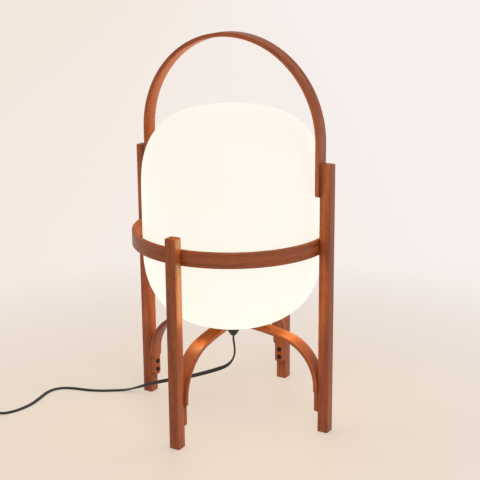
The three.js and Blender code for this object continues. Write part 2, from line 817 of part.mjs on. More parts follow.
function leadPieces() {
  const path = coilPath();
  const wound = sweep(path, coil.sides);
  const gap = leastGap(wound, path.points, coil.stepsPerTurn / 2);
  const half = inline.length / 2;
  const inlet = ahead(inline.at, inlineTurn, -half, inline.base);
  const outlet = ahead(inline.at, inlineTurn, half, inline.base);
  const intoPlug = ahead(plug.at, plugTurn, 0, plug.thick / 2);
  const coilEnd = (end, next) =>
    endRows(end.toArray(), end.clone().sub(next).normalize().toArray(), [0, 0, 1]);
  const parts = [
    stretch('cord_lead', endRows([0, 0, glandTip], [0, 0, -1], leadRoute[0].slice(3)), leadRoute,
      endRows(inlet, along(inlineTurn, -1), across(inlineTurn)), leadSteps),
    stretch('cord_link', endRows(outlet, along(inlineTurn, 1), across(inlineTurn)), linkRoute,
      coilEnd(path.points[0], path.points[1]), linkSteps),
    stretch('cord_tail', coilEnd(path.points.at(-1), path.points.at(-2)), tailRoute,
      endRows(intoPlug, along(plugTurn, -1), across(plugTurn)), tailSteps),
  ];
  const turns = path.points.slice(1).reduce((sum, p, i) => sum + p.distanceTo(path.points[i]), 0);
  const metres = (parts.reduce((sum, part) => sum + part.length, turns) / 1000).toFixed(3);
  console.log(`Coil: least gap between turns ${gap.toFixed(2)} mm. Lead: ${metres} m in all.`);
  return [...parts.map((part) => part.mesh), piece('cord_coil', wound, softBlack)];
}

// A band round the bundle of turns, its inside cleared of them on every side.
function tiePiece() {
  const half = lead.thick / 2 + tie.play;
  const total = coil.turnsIn + coil.turnsOut;
  const first = THREE.MathUtils.euclideanModulo(turned(coil.start - tie.angle), 2 * Math.PI) / (2 * Math.PI);
  const passes = Array.from({ length: Math.ceil(total - first) }, (_, i) =>
    coil.inner + coil.pitch * Math.abs(first + i - coil.turnsIn));
  const outer = Math.max(...passes) + half;
  const inner = Math.sqrt(Math.min(...passes) ** 2 - (tie.width / 2) ** 2) - half;
  const low = coilLow - tie.play;
  const high = coilLow + coil.layer + lead.width + tie.play;
  const band = new THREE.Shape();
  band.moveTo(inner - tie.thick, low - tie.thick);
  band.lineTo(outer + tie.thick, low - tie.thick);
  band.lineTo(outer + tie.thick, high + tie.thick);
  band.lineTo(inner - tie.thick, high + tie.thick);
  band.holes.push(new THREE.Path([
    new THREE.Vector2(inner, low),
    new THREE.Vector2(inner, high),
    new THREE.Vector2(outer, high),
    new THREE.Vector2(outer, low),
  ]));
  const mesh = piece('coil_tie', slab(band, tie.width, 0, 1), blackPlastic, [...coil.at, 0]);
  mesh.rotation.z = turned(tie.angle);
  return mesh;
}

// Plan of the in-line switch: full width in the middle, drawn in to a neck at each end.
function inlineOutline() {
  const { length, width, neck } = inline;
  const [nearEnd, nearMiddle, full] = taperShares;
  const shape = new THREE.Shape();
  shape.moveTo(-length / 2, neck / 2);
  shape.lineTo(-length / 2, -neck / 2);
  shape.bezierCurveTo(-length * nearEnd, -neck / 2, -length * nearMiddle, -width / 2,
    -length * full, -width / 2);
  shape.lineTo(length * full, -width / 2);
  shape.bezierCurveTo(length * nearMiddle, -width / 2, length * nearEnd, -neck / 2, length / 2, -neck / 2);
  shape.lineTo(length / 2, neck / 2);
  shape.bezierCurveTo(length * nearEnd, neck / 2, length * nearMiddle, width / 2, length * full, width / 2);
  shape.lineTo(-length * full, width / 2);
  shape.bezierCurveTo(-length * nearMiddle, width / 2, -length * nearEnd, neck / 2, -length / 2, neck / 2);
  return shape;
}

function switchPieces() {
  const s = inline;
  const outline = inlineOutline();
  const coverLow = s.base + glueGap;
  const roofUnder = s.height - s.roof;
  const windowLength = rocker.length + 2 * rocker.endPlay;
  const windowWidth = rocker.width + 2 * rocker.sidePlay;
  const frameLength = windowLength + 2 * bezel.wall;
  const frameWidth = windowWidth + 2 * bezel.wall;
  const frameLow = s.height - bezel.depth;
  const frameTop = s.height + glueGap + bezel.flangeHeight;
  const screwTop = switchScrew.sunk + switchScrew.headHeight + switchScrew.length;
  const atScrew = (geometry, end) => geometry.translate(end * s.screwFromMiddle, 0, 0);
  const sunk = (end) => atScrew(block(2 * switchScrew.head, 2 * switchScrew.head, -overrun,
    switchScrew.sunk + switchScrew.headHeight + holePlay), end);
  const shaft = (end) => atScrew(rod(switchScrew.shank + holePlay, 2 * screwTop, 12)
    .translate(0, 0, holePlay), end);
  const pocket = (low, high) => block(s.pocketLength, s.pocketWidth, low, high);
  const base = cut(raised(outline, 0, s.base, s.edge / 2, 4),
    [pocket(s.floor, s.height), sunk(-1), sunk(1), shaft(-1), shaft(1)]);
  const cover = cut(raised(outline, coverLow, s.height, s.edge / 2, 4), [
    pocket(0, roofUnder),
    block(frameLength + 2 * holePlay, frameWidth + 2 * holePlay, roofUnder - overrun, 2 * s.height),
    shaft(-1),
    shaft(1),
  ]);
  const frame = cut(
    joined(block(frameLength, frameWidth, frameLow, frameTop),
      block(frameLength + 2 * bezel.flange, frameWidth + 2 * bezel.flange, s.height + glueGap, frameTop)),
    [block(windowLength, windowWidth, 0, 2 * s.height),
      rod(rockerPin.radius + holePlay, windowWidth + 2 * rockerPin.hold, 14)
        .rotateX(quarter).translate(0, 0, rocker.pivot)],
  );
  const pin = rod(rockerPin.radius, windowWidth + 2 * (rockerPin.hold - holePlay), 14)
    .rotateX(quarter).translate(0, 0, rocker.pivot);
  const screwProfile = [
    [0, switchScrew.sunk],
    [switchScrew.head - holePlay, switchScrew.sunk],
    [switchScrew.head - holePlay, switchScrew.sunk + switchScrew.headHeight],
    [switchScrew.shank, switchScrew.sunk + switchScrew.headHeight],
    [switchScrew.shank, screwTop],
    [0, screwTop],
  ];
  const rockerLow = rocker.pivot - (rocker.depth / 2) * Math.cos(turned(rocker.tilt))
    - (rocker.length / 2) * Math.sin(turned(rocker.tilt));
  const blade = (end) => {
    const { length, width, thick } = contact;
    const low = s.floor + glueGap;
    const height = rockerLow - contact.underRocker - low;
    const near = s.pocketLength / 2 - contact.endPlay - length;
    const shape = new THREE.Shape([[0, 0], [length, 0], [length, thick], [thick, thick],
      [thick, height], [0, height]].map(([x, z]) => new THREE.Vector2(x, z)));
    return slab(shape, width, 0, 1).rotateZ(end < 0 ? Math.PI : 0)
      .translate(end * near, 0, low);
  };
  const group = grouped(
    piece('switch_base', base, blackPlastic),
    piece('switch_cover', cover, blackPlastic),
    piece('switch_bezel', frame, blackPlastic),
    rockerPiece(),
    piece('switch_pivot_pin', pin, zinc),
    piece('switch_contact_1', blade(-1), brass),
    piece('switch_contact_2', blade(1), brass),
    piece('switch_screw_1', atScrew(revolved(screwProfile, 12), -1), zinc),
    piece('switch_screw_2', atScrew(revolved(screwProfile, 12), 1), zinc),
  );
  group.position.set(...s.at, 0);
  group.rotation.z = inlineTurn;
  return group;
}

// Rocker: two flats that meet over the pivot, stored pressed down at its far end.
function rockerPiece() {
  const half = rocker.length / 2;
  const slope = Math.tan(turned(rocker.tilt));
  const profile = new THREE.Shape([
    [-half, -rocker.depth / 2], [0, -rocker.depth / 2 - half * slope / 2], [half, -rocker.depth / 2],
    [half, rocker.rise + half * slope], [0, rocker.rise], [-half, rocker.rise + half * slope],
  ].map(([x, z]) => new THREE.Vector2(x, z)));
  const bore = rod(rockerPin.radius + holePlay, 2 * rocker.width, 14).rotateX(quarter);
  const body = cut(slab(profile, rocker.width, strip.edge / 2, 1), [bore]);
  const mesh = piece('switch_rocker', body, blackPlastic, [0, 0, rocker.pivot]);
  mesh.rotation.y = turned(rocker.tilt);
  return mesh;
}

// Plug: a flat moulded body drawn in towards the lead, a ribbed relief and two pins.
function plugOutline() {
  const { length, width, front, rear, relief } = plug;
  const [shoulder, full, nose] = cornerShares;
  const shape = new THREE.Shape();
  shape.moveTo(relief, rear / 2);
  shape.lineTo(relief, -rear / 2);
  shape.bezierCurveTo(relief + length * shoulder, -rear / 2, relief + length * shoulder, -width / 2,
    relief + length * full, -width / 2);
  shape.lineTo(relief + length * nose, -width / 2);
  shape.lineTo(relief + length, -front / 2);
  shape.lineTo(relief + length, front / 2);
  shape.lineTo(relief + length * nose, width / 2);
  shape.lineTo(relief + length * full, width / 2);
  shape.bezierCurveTo(relief + length * shoulder, width / 2, relief + length * shoulder, rear / 2,
    relief, rear / 2);
  return shape;
}

function plugPieces() {
  const p = plug;
  const middle = p.thick / 2;
  const body = raised(plugOutline(), 0, p.thick, p.edge, 5);
  const reliefAt = (x) => p.reliefTip + ((p.reliefRoot - p.reliefTip) * x) / p.relief;
  const profile = [[0, 0]];
  for (let i = 0; i <= 2 * p.ribs; i += 1) {
    const low = (p.relief * i) / (2 * p.ribs + 1);
    const high = (p.relief * (i + 1)) / (2 * p.ribs + 1);
    const radius = reliefAt(low) - (i % 2 ? p.ribDepth : 0);
    profile.push([radius, low], [radius, high]);
  }
  profile.push([reliefAt(p.relief), p.relief + p.edge], [0, p.relief + p.edge]);
  const relief = revolved(profile, 14).rotateY(quarter).translate(0, 0, middle);
  const face = p.relief + p.length;
  const ends = [-1, 1];
  const hole = (end) => rod(p.pinRadius + holePlay, 2 * p.pinBite, 16).rotateY(quarter)
    .translate(face, (end * p.pinPitch) / 2, middle);
  const pinLength = p.pinBite - holePlay + p.pinLength;
  const pinProfile = [[0, 0], [p.pinRadius, 0], [p.pinRadius, pinLength - p.pinRadius / 2],
    [p.pinRadius / 2, pinLength], [0, pinLength]];
  const pin = (end) => revolved(pinProfile, 16).rotateY(quarter)
    .translate(face - p.pinBite + holePlay, (end * p.pinPitch) / 2, middle);
  const group = grouped(
    piece('plug_body', cut(joined(body, relief), ends.map(hole)), blackPlastic),
    ...ends.map((end, i) => piece(`plug_pin_${i + 1}`, pin(end), zinc)),
  );
  group.position.set(...p.at, 0);
  group.rotation.z = plugTurn;
  return group;
}

const archAcross = archPiece('cross_arch_front_rear', false);
archAcross.rotation.z = quarter;

const lamp = grouped(
  side('right_front', 0, true),
  side('right_rear', 1, false),
  side('left_rear', 2, true),
  side('left_front', 3, false),
  hoopPiece(),
  handlePiece(),
  archPiece('cross_arch_left_right', true),
  archAcross,
  trayPiece(),
  gasketPiece(),
  globePiece(),
  ...middlePieces(),
  glandPiece(),
  ...holderPieces(),
  ...bulbPieces(),
  ...leadPieces(),
  tiePiece(),
  switchPieces(),
  plugPieces(),
);
lamp.name = 'lantern_table_lamp';

export default lamp;
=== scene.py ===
# Lantern table lamp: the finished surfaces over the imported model, in metres, +Z up.
import math

import bmesh
import bpy
import numpy as np
from mathutils import Matrix, Vector


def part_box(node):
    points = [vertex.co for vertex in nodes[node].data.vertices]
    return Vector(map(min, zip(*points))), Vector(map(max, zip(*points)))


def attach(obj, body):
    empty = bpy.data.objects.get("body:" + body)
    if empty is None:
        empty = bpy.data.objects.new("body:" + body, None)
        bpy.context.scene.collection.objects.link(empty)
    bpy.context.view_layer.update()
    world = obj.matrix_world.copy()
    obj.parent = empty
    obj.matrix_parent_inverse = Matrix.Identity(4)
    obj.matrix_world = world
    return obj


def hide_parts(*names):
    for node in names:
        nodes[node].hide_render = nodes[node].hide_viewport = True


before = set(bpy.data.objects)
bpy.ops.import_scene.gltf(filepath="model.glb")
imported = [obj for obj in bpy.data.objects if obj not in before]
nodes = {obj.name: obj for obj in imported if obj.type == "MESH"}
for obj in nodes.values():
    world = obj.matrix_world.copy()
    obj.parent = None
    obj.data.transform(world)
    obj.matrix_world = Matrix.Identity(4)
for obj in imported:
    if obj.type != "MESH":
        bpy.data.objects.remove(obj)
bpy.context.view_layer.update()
mm = 0.001  # the pieces' settings are in millimetres; the view, lead and studio are in metres
upward = np.array([0.0, 0.0, 1.0])

# the camera, solved from the legs, the hoop and the handle
view = {
    "target": (0.009343, 0.005648, 0.264758),
    "azimuth": 31.154,
    "elevation": 15.505,
    "roll": -0.468,
    "distance": 1.7267,
    "lens": 89.27,
    "sensor": 36,
    "clip": (0.05, 60),
}


def added(name, data):
    made = bpy.data.objects.new(name, data)
    bpy.context.scene.collection.objects.link(made)
    return made


def placeCamera():
    az, el, roll = (math.radians(view[k]) for k in ("azimuth", "elevation", "roll"))
    back = Vector((math.sin(az) * math.cos(el), -math.cos(az) * math.cos(el), math.sin(el)))
    right = Vector((math.cos(az), math.sin(az), 0))
    up = back.cross(right)
    across = right * math.cos(roll) + up * math.sin(roll)
    upright = up * math.cos(roll) - right * math.sin(roll)
    data = bpy.data.cameras.new("camera")
    data.lens, data.sensor_width = view["lens"], view["sensor"]
    data.clip_start, data.clip_end = view["clip"]
    camera = added("camera", data)
    place = Vector(view["target"]) + back * view["distance"]
    turn = Matrix((across, upright, back)).transposed().to_4x4()
    camera.matrix_world = Matrix.Translation(place) @ turn
    bpy.context.scene.camera = camera


placeCamera()
bpy.context.scene.view_settings.view_transform = "Standard"
print("camera placed")


# shader wiring
class Signal:  # one output of a node, with the arithmetic that the finishes use
    def __init__(self, finish, socket):
        self.finish, self.socket = finish, socket

    def maths(self, operation, *values):
        return self.finish.node("ShaderNodeMath", {"operation": operation}, dict(enumerate(values)))

    def __add__(self, other):
        return self.maths("ADD", self, other)

    def __sub__(self, other):
        return self.maths("SUBTRACT", self, other)

    def __rsub__(self, other):
        return self.maths("SUBTRACT", other, self)

    def __mul__(self, other):
        return self.maths("MULTIPLY", self, other)

    __radd__ = __add__
    __rmul__ = __mul__


class Finish:  # one material, or the world, and its nodes
    def __init__(self, name, blocks=bpy.data.materials):
        self.block = blocks.new(name)
        self.block.use_nodes = True
        self.tree = self.block.node_tree
        self.tree.nodes.clear()

    def node(self, kind, settings, sockets, output=0):
        made = self.tree.nodes.new(kind)
        stops = settings.pop("stops", None)
        for name, value in settings.items():
            setattr(made, name, value)
        if stops:
            ramp = made.color_ramp
            while len(ramp.elements) < len(stops):
                ramp.elements.new(0.5)
            for element, (place, colour) in zip(ramp.elements, stops):
                element.position, element.color = place, (*colour, 1)
        for key, value in sockets.items():
            if isinstance(value, Signal):
                self.tree.links.new(value.socket, made.inputs[key])
            elif value is not None:
                made.inputs[key].default_value = value
        return None if output is None else Signal(self, made.outputs[output])

    def place(self, attribute=None, scale=(1, 1, 1)):
        if attribute:
            at = self.node("ShaderNodeAttribute", {"attribute_name": attribute}, {}, "Vector")
        else:
            at = self.node("ShaderNodeTexCoord", {}, {}, "Object")
        return self.node("ShaderNodeMapping", {}, {"Vector": at, "Scale": scale})

    def noise(self, at, scale=1.0, detail=2.0, roughness=0.5, distortion=0.0):
        return self.node("ShaderNodeTexNoise", {}, {
            "Vector": at, "Scale": scale, "Detail": detail, "Roughness": roughness,
            "Distortion": distortion})

    def blend(self, amount, *colours):
        first, second = (v if isinstance(v, Signal) else (*v, 1) for v in colours)
        return self.node("ShaderNodeMix", {"data_type": "RGBA"}, {0: amount, 6: first, 7: second}, 2)

    def ramp(self, value, stops):
        return self.node("ShaderNodeValToRGB", {"stops": stops}, {"Fac": value})

    def stretch(self, value, low, high, toLow=0.0, toHigh=1.0):
        return self.node("ShaderNodeMapRange", {}, {0: value, 1: low, 2: high, 3: toLow, 4: toHigh})

    def follow(self, pattern, low=0.0, high=1.0):
        # from one amount to another over the middle values of a pattern
        return self.stretch(pattern, 0.3, 0.7, low, high)

    def rough(self, pattern, middle, spread):
        return self.follow(pattern, middle + spread[0], middle + spread[1])

    def bump(self, height, strength, distance):
        return self.node("ShaderNodeBump", {}, {
            "Height": height, "Strength": strength, "Distance": distance})

    def shade(self, **sockets):
        named = {key.replace("_", " "): value for key, value in sockets.items()}
        return self.show(self.node("ShaderNodeBsdfPrincipled", {}, named))

    def show(self, shader, kind="Material"):
        self.node(f"ShaderNodeOutput{kind}", {}, {"Surface": shader}, None)
        return self.block


def scaled(colour, factor, lift=0.0):
    return tuple(c * factor + lift for c in colour)


# finishes; a pattern of the wood has its scales along, across and through the grain, its detail,
# its roughness and its distortion
cherry = {
    "dark": (0.170, 0.034, 0.0078),
    "body": (0.298, 0.063, 0.0140),
    "light": (0.425, 0.112, 0.0245),
    "pore": (0.100, 0.021, 0.0060),
    "roughness": 0.40,
    "figure": (8, 130, 130, 3, 0.55, 0.6),
    "lines": (16, 700, 700, 3, 0.6, 0),
    "flecks": (90, 520, 520, 2, 0.6, 0),
    "pores": (150, 3200, 3200, 1, 0.5, 0),
    "patches": (14, 40, 40, 2, 0.5, 0),
    "shares": (0.5, 0.22, 0.28),
    "contrast": (0.38, 0.62),
    "stops": (0.0, 0.45, 1.0),
    "poreEdges": (0.60, 0.72),
    "poreShare": 0.5,
    "patchy": (0.35, 0.7, 0.0, 0.35),
    "spread": (-0.06, 0.10),
    "bump": (0.22, 0.0003),
}


def cherryFinish(name, attribute):
    # grain runs along the attribute's first coordinate: every pattern is stretched that way
    f, w = Finish(name), cherry
    figure, lines, flecks, pores, patches = (
        f.noise(f.place(attribute, w[k][:3]), 1, *w[k][3:])
        for k in ("figure", "lines", "flecks", "pores", "patches"))
    pore = f.stretch(pores, *w["poreEdges"])
    mixed = figure * w["shares"][0] + lines * w["shares"][1] + flecks * w["shares"][2]
    tones = list(zip(w["stops"], (w["dark"], w["body"], w["light"])))
    colour = f.ramp(f.stretch(mixed, *w["contrast"]), tones)
    colour = f.blend(f.stretch(patches, *w["patchy"]), colour, w["body"])
    return f.shade(
        Base_Color=f.blend(pore * w["poreShare"], colour, w["pore"]),
        Roughness=f.rough(lines, w["roughness"], w["spread"]),
        Normal=f.bump(lines * 0.5 - pore * 0.6, *w["bump"]),
    )


opal = {"low": (1.0, 1.0, 0.885), "crown": (1.0, 0.91, 0.82), "strength": 0.90, "heights": (0.20, 0.461),
        "glass": (0.12, 0.118, 0.112), "cloud": 9, "roughness": (0.46, 0.54), "bump": (0.05, 0.002)}


def opalFinish():
    # lit from within: faintly yellow at the bottom, where the bulb stands, and rosier at the top
    f = Finish("opal_glass")
    at = f.place()
    height = f.node("ShaderNodeSeparateXYZ", {}, {0: at}, "Z")
    cloud = f.noise(at, opal["cloud"])
    return f.shade(
        Base_Color=opal["glass"] + (1,),
        Roughness=f.follow(cloud, *opal["roughness"]),
        Emission_Color=f.blend(f.stretch(height, *opal["heights"]), opal["low"], opal["crown"]),
        Emission_Strength=opal["strength"],
        Normal=f.bump(cloud, *opal["bump"]),
        Specular_IOR_Level=0.3,
    )


moulded = {"cloudSize": 14, "paler": (1.5, 0.004), "spread": (-0.06, 0.08), "bump": 0.25}
metal = {"scratches": 700, "squeeze": (1, 1, 6), "cloud": 90, "darker": 0.72, "spread": (-0.07, 0.1),
         "bump": (0.12, 0.0001)}
glazed = {"ripple": 420, "cloud": 30, "darker": 0.94, "spread": (0, 0.08), "bump": (0.08, 0.0002)}


def mouldedFinish(name, colour, roughness, scale, depth, attribute=None):
    # moulded or drawn plastic: a fine even texture, with the faintest cloud in its colour
    f = Finish(name)
    at = f.place(attribute)
    fine, cloud = f.noise(at, scale, 3, 0.6), f.noise(at, scale / moulded["cloudSize"])
    return f.shade(
        Base_Color=f.blend(f.follow(cloud), colour, scaled(colour, *moulded["paler"])),
        Roughness=f.rough(fine, roughness, moulded["spread"]),
        Normal=f.bump(fine, moulded["bump"], depth),
    )


def metalFinish(name, colour, roughness, metallic=1.0):
    # plated or blacked metal: fine rolled scratches and slightly cloudy plating
    f = Finish(name)
    fine = f.noise(f.place(None, metal["squeeze"]), metal["scratches"], 2, 0.6)
    cloud = f.noise(f.place(), metal["cloud"], 3, 0.6)
    return f.shade(
        Base_Color=f.blend(f.follow(cloud), colour, scaled(colour, metal["darker"])),
        Metallic=metallic,
        Roughness=f.rough(fine, roughness, metal["spread"]),
        Normal=f.bump(fine, *metal["bump"]),
    )


def glazedFinish(name, colour, roughness):
    # enamel, glaze or milky rubber: a soft ripple and a faint cloud
    f = Finish(name)
    at = f.place()
    ripple, cloud = f.noise(at, glazed["ripple"]), f.noise(at, glazed["cloud"])
    return f.shade(
        Base_Color=f.blend(f.follow(cloud), colour, scaled(colour, glazed["darker"])),
        Roughness=f.rough(cloud, roughness, glazed["spread"]),
        Normal=f.bump(ripple, *glazed["bump"]),
    )


finishes = {
    "wood": cherryFinish("cherry_wood", "grain"),
    "opal": opalFinish(),
    "boltBlack": metalFinish("black_steel", (0.030, 0.030, 0.033), 0.38, 0.85),
    "enamel": glazedFinish("white_enamel", (0.80, 0.79, 0.76), 0.32),
    "softBlack": mouldedFinish("soft_black", (0.012, 0.012, 0.013), 0.46, 2600, 0.00012),
    "leadBlack": mouldedFinish("lead_jacket", (0.012, 0.012, 0.013), 0.40, 1800, 0.00010, "grain"),
    "clearRubber": glazedFinish("clear_rubber", (0.80, 0.76, 0.68), 0.42),
    "zinc": metalFinish("zinc_plate", (0.62, 0.62, 0.60), 0.32),
    "ceramic": glazedFinish("ceramic", (0.80, 0.77, 0.70), 0.38),
    "brass": metalFinish("brass", (0.72, 0.52, 0.22), 0.28),
    "frosted": glazedFinish("frosted_glass", (0.88, 0.87, 0.83), 0.45),
    "blackPlastic": mouldedFinish("black_plastic", (0.016, 0.016, 0.017), 0.44, 2200, 0.00012),
}
print("finishes made:", len(finishes))


# meshes from grids of points whose rows close on themselves
crease = 35  # degrees between two faces from which their edge is sharp


def makePiece(name, grid, finish, loopRows=False, caps=(False, False), grain=None, sharp=crease):
    # grid: rows x cols points; a cap closes an end row with a fan round its middle;
    # grain: rows (one more when the rows loop) x cols coordinates that the finish follows
    rows, cols = grid.shape[:2]
    r, c = np.meshgrid(np.arange(rows if loopRows else rows - 1), np.arange(cols), indexing="ij")
    r1, c1 = (r + 1) % rows, (c + 1) % cols
    points = grid.reshape(-1, 3)
    quads = np.stack([r * cols + c, r * cols + c1, r1 * cols + c1, r1 * cols + c], -1)
    faces = quads.reshape(-1, 4).tolist()
    corners = []
    if grain is not None:
        around = np.stack([grain[r, c], grain[r, c1], grain[r + 1, c1], grain[r + 1, c]], 2)
        corners.append(around.reshape(-1, 3))
    for end, wanted in zip((0, rows - 1), caps):
        if not wanted:
            continue
        middle = len(points)
        points = np.vstack([points, grid[end].mean(0)])
        ring = end * cols + np.arange(cols)
        beyond = np.roll(ring, -1)
        order = (beyond, ring) if end == 0 else (ring, beyond)
        faces += np.stack([*order, np.full(cols, middle)], -1).tolist()
        if grain is not None:
            line = grain[end]
            pair = (np.roll(line, -1, 0), line) if end == 0 else (line, np.roll(line, -1, 0))
            corners.append(np.stack([*pair, np.broadcast_to(line.mean(0), line.shape)], 1).reshape(-1, 3))
    mesh = bpy.data.meshes.new(name)
    mesh.from_pydata(points.tolist(), [], faces)
    if grain is not None:
        layer = mesh.attributes.new("grain", "FLOAT_VECTOR", "CORNER")
        layer.data.foreach_set("vector", np.vstack(corners).ravel().astype(np.float32))
    mesh.materials.append(finish)
    piece = added(name, mesh)
    if signedVolume(mesh) < 0:
        mesh.flip_normals()
    mesh.polygons.foreach_set("use_smooth", np.ones(len(mesh.polygons), bool))
    mesh.set_sharp_from_angle(angle=math.radians(sharp))
    mesh.update()
    return piece


def signedVolume(mesh):
    # sum over triangles of the box product of their corners, a sixth of it each
    mesh.calc_loop_triangles()
    at = np.empty(len(mesh.vertices) * 3)
    mesh.vertices.foreach_get("co", at)
    tri = np.empty(len(mesh.loop_triangles) * 3, int)
    mesh.loop_triangles.foreach_get("vertices", tri)
    a, b, c = at.reshape(-1, 3)[tri.reshape(-1, 3)].transpose(1, 0, 2)
    return float((a * np.cross(b, c)).sum() / 6)


def closePoles(piece):
    # a revolve's rows that shrink to a point become one vertex
    bm = bmesh.new()
    bm.from_mesh(piece.data)
    bmesh.ops.remove_doubles(bm, verts=bm.verts, dist=mm / 1000)
    bmesh.ops.recalc_face_normals(bm, faces=bm.faces)
    bm.to_mesh(piece.data)
    bm.free()
    piece.data.set_sharp_from_angle(angle=math.radians(crease))
    return piece


def circle(count):
    # even angles all the way round
    return np.linspace(0, 2 * np.pi, count, endpoint=False)


def revolve(name, profile, finish, segments, closed=False):
    # each [radius, height] of the profile turned about the upright line through the origin
    turn = circle(segments)
    r, z = profile[:, :1], profile[:, 1:]
    grid = np.stack([r * np.cos(turn), r * np.sin(turn), z + 0 * turn], -1)
    return closePoles(makePiece(name, grid * mm, finish, loopRows=closed))


def runAlong(points):
    # the length of the line from its first point to each one
    return np.concatenate([[0], np.linalg.norm(np.diff(points, axis=0), axis=1).cumsum()])


def sampled(at, run, *rows):
    # each table's columns read off, evenly between its rows, at other lengths
    return [np.stack([np.interp(at, run, column) for column in v.T], 1) for v in rows]


def heading(degrees):
    # the level direction at an angle from the X axis
    a = math.radians(degrees)
    return np.array([math.cos(a), math.sin(a), 0])


def sideOf(degrees):
    # the level direction to the left of that one
    a = math.radians(degrees)
    return np.array([-math.sin(a), math.cos(a), 0])


def roundAxis(at, axis, side, along, distance, turn):
    # rings round a level axis, each row with its place along it and its distance from it
    return (np.array(at) + axis * along[..., None] + side * (distance * np.cos(turn))[..., None]
            + upward * (distance * np.sin(turn))[..., None])


def settle(piece, cads):
    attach(piece, "lamp")
    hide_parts(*cads)
    return piece


# the lead: a flat twin, laid from the bell to the switch, round its coil and to the plug
lead = {"width": 5.8 * mm, "thick": 2.8 * mm, "groove": 0.34 * mm, "step": 1.6 * mm, "gap": 0.3,
        "between": 24, "sides": 30, "grainShare": 0.25, "crease": 60}
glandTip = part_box("gland_cone")[0][2] / mm
inline = {"at": (-335.8, -234.4), "heading": 222, "length": 64, "width": 27, "neck": 12,
          "tapers": (0.37, 0.3, 0.2), "base": 8, "seam": 0.1, "height": 16.4, "edge": 1.5, "arris": 0.35,
          "pocket": (33, 22), "floor": 1.8, "roof": 1.6, "foot": 0.8, "rays": 240}
coil = {"at": (-406.6, -235.5), "start": 252, "inner": 27.4, "pitch": 3.45, "layer": 6.4,
        "low": 4.1, "turnsIn": 3, "turnsOut": 3.25, "perTurn": 72}
plug = {"at": (-431.2, -191), "heading": 62, "thick": 13.8, "width": 35, "length": 34, "front": 26,
        "rear": 13, "edge": 2.4, "relief": 24, "root": 5.4, "tip": 3.9, "ribs": 3, "ribDepth": 0.7,
        "ribShape": (1.6, 0.5), "shares": (0, 0.22, 0.62, 0.86, 1), "soft": 1, "rays": 200,
        "edgeSteps": 9, "reliefSteps": 90, "sides": 40}
# rows of the routes: a place in millimetres, and the way that the lead's width lies there
leadRoute = [
    [1.2, 0.2, 103, -0.5, 0.86, 0], [1.9, 0.3, 95, -0.5, 0.86, 0], [1.2, 0.1, 87.5, -0.4, 0.9, 0.1],
    [-2.2, -0.3, 79, -0.3, 0.9, 0.3], [-8, -1, 71.5, -0.2, 0.8, 0.6], [-15.5, -2, 66, 0, 0.6, 0.8],
    [-27, -3.5, 60.2, 0, 0.3, 1], [-44, -5.7, 52.8, 0, 0.1, 1], [-67, -8.8, 43.7, 0, 0, 1],
    [-92, -12, 35.5, 0, 0, 1], [-116.6, -15.3, 27.3, 0, -0.1, 1], [-134, -17.6, 21.2, 0, -0.3, 0.9],
    [-152, -20, 14, 0.1, -0.6, 0.7], [-168, -22.8, 7.4, 0.2, -0.8, 0.4], [-183, -27, 2.8, 0.3, -1, 0.1],
    [-198.6, -35.6, 1.6, 0.5, -1, 0], [-214, -45.6, 1.6, 0.5, -1, 0], [-231, -53.5, 1.6, 0.3, -1, 0],
    [-247, -57.8, 1.6, 0.3, -1, 0], [-262, -61.8, 1.6, 0.4, -1, 0], [-274.5, -68.2, 1.6, 0.7, -0.7, 0],
    [-282.5, -79, 1.6, 0.9, -0.3, 0], [-284.5, -92.5, 1.6, 1, 0, 0], [-282, -108, 1.6, 1, 0.1, 0],
    [-278.5, -124, 1.6, 1, 0.2, 0], [-276, -142, 1.6, 1, 0, 0], [-277, -160, 1.6, 1, -0.2, 0],
    [-281, -176, 1.6, 0.9, -0.4, 0], [-288.3, -190.6, 2.4, 0.8, -0.7, 0], [-298, -200.7, 5.6, 0.67, -0.74, 0],
]
linkRoute = [
    [-371.5, -266.1, 7.6, 0.67, -0.74, 0.1], [-379.6, -271.1, 6.4, 0.4, -0.6, 0.6],
    [-389.6, -274.4, 4.9, 0.1, -0.3, 1], [-399.5, -275.4, 4.2, 0, 0, 1],
]
tailRoute = [
    [-438.2, -207.2, 9.8, -0.3, 0.2, 1], [-435.9, -200.9, 8.1, -0.7, 0.4, 0.5],
]


def endRows(at, out, facing):
    # two rows straight out of the piece that a stretch meets, the nearer one first
    at, out = np.array(at, float), np.array(out, float)
    return [[*(at + d * out), *facing] for d in (lead["gap"], lead["gap"] + lead["width"] / mm)]


def smoothRoute(rows):
    # centripetal curve through the rows, its facings blended evenly between them, resampled
    # to even steps; returns points and facings in metres
    rows = np.array(rows, float)
    p, wide = rows[:, :3], rows[:, 3:] / np.linalg.norm(rows[:, 3:], axis=1, keepdims=True)
    p = np.vstack([2 * p[0] - p[1], p, 2 * p[-1] - p[-2]])
    t = np.linspace(0, 1, lead["between"], endpoint=False)[None, :, None]
    a, b, c, d = (p[i:len(p) - 3 + i, None] for i in range(4))
    ab, bc, cd = (np.sqrt(np.linalg.norm(v - u, axis=2, keepdims=True))
                  for u, v in ((a, b), (b, c), (c, d)))
    m1 = ((b - a) / ab - (c - a) / (ab + bc) + (c - b) / bc) * bc
    m2 = ((c - b) / bc - (d - b) / (bc + cd) + (d - c) / cd) * bc
    curve = b + m1 * t + (3 * (c - b) - 2 * m1 - m2) * t**2 + (2 * (b - c) + m1 + m2) * t**3
    facing = wide[:-1, None] * (1 - t) + wide[1:, None] * t
    curve = np.vstack([curve.reshape(-1, 3), p[-2]])
    facing = np.vstack([facing.reshape(-1, 3), wide[-1]])
    return resample(curve * mm, facing)


def resample(curve, facing):
    run = runAlong(curve)
    at = np.linspace(0, run[-1], max(int(run[-1] / lead["step"]), 4) + 1)
    return sampled(at, run, curve, facing)


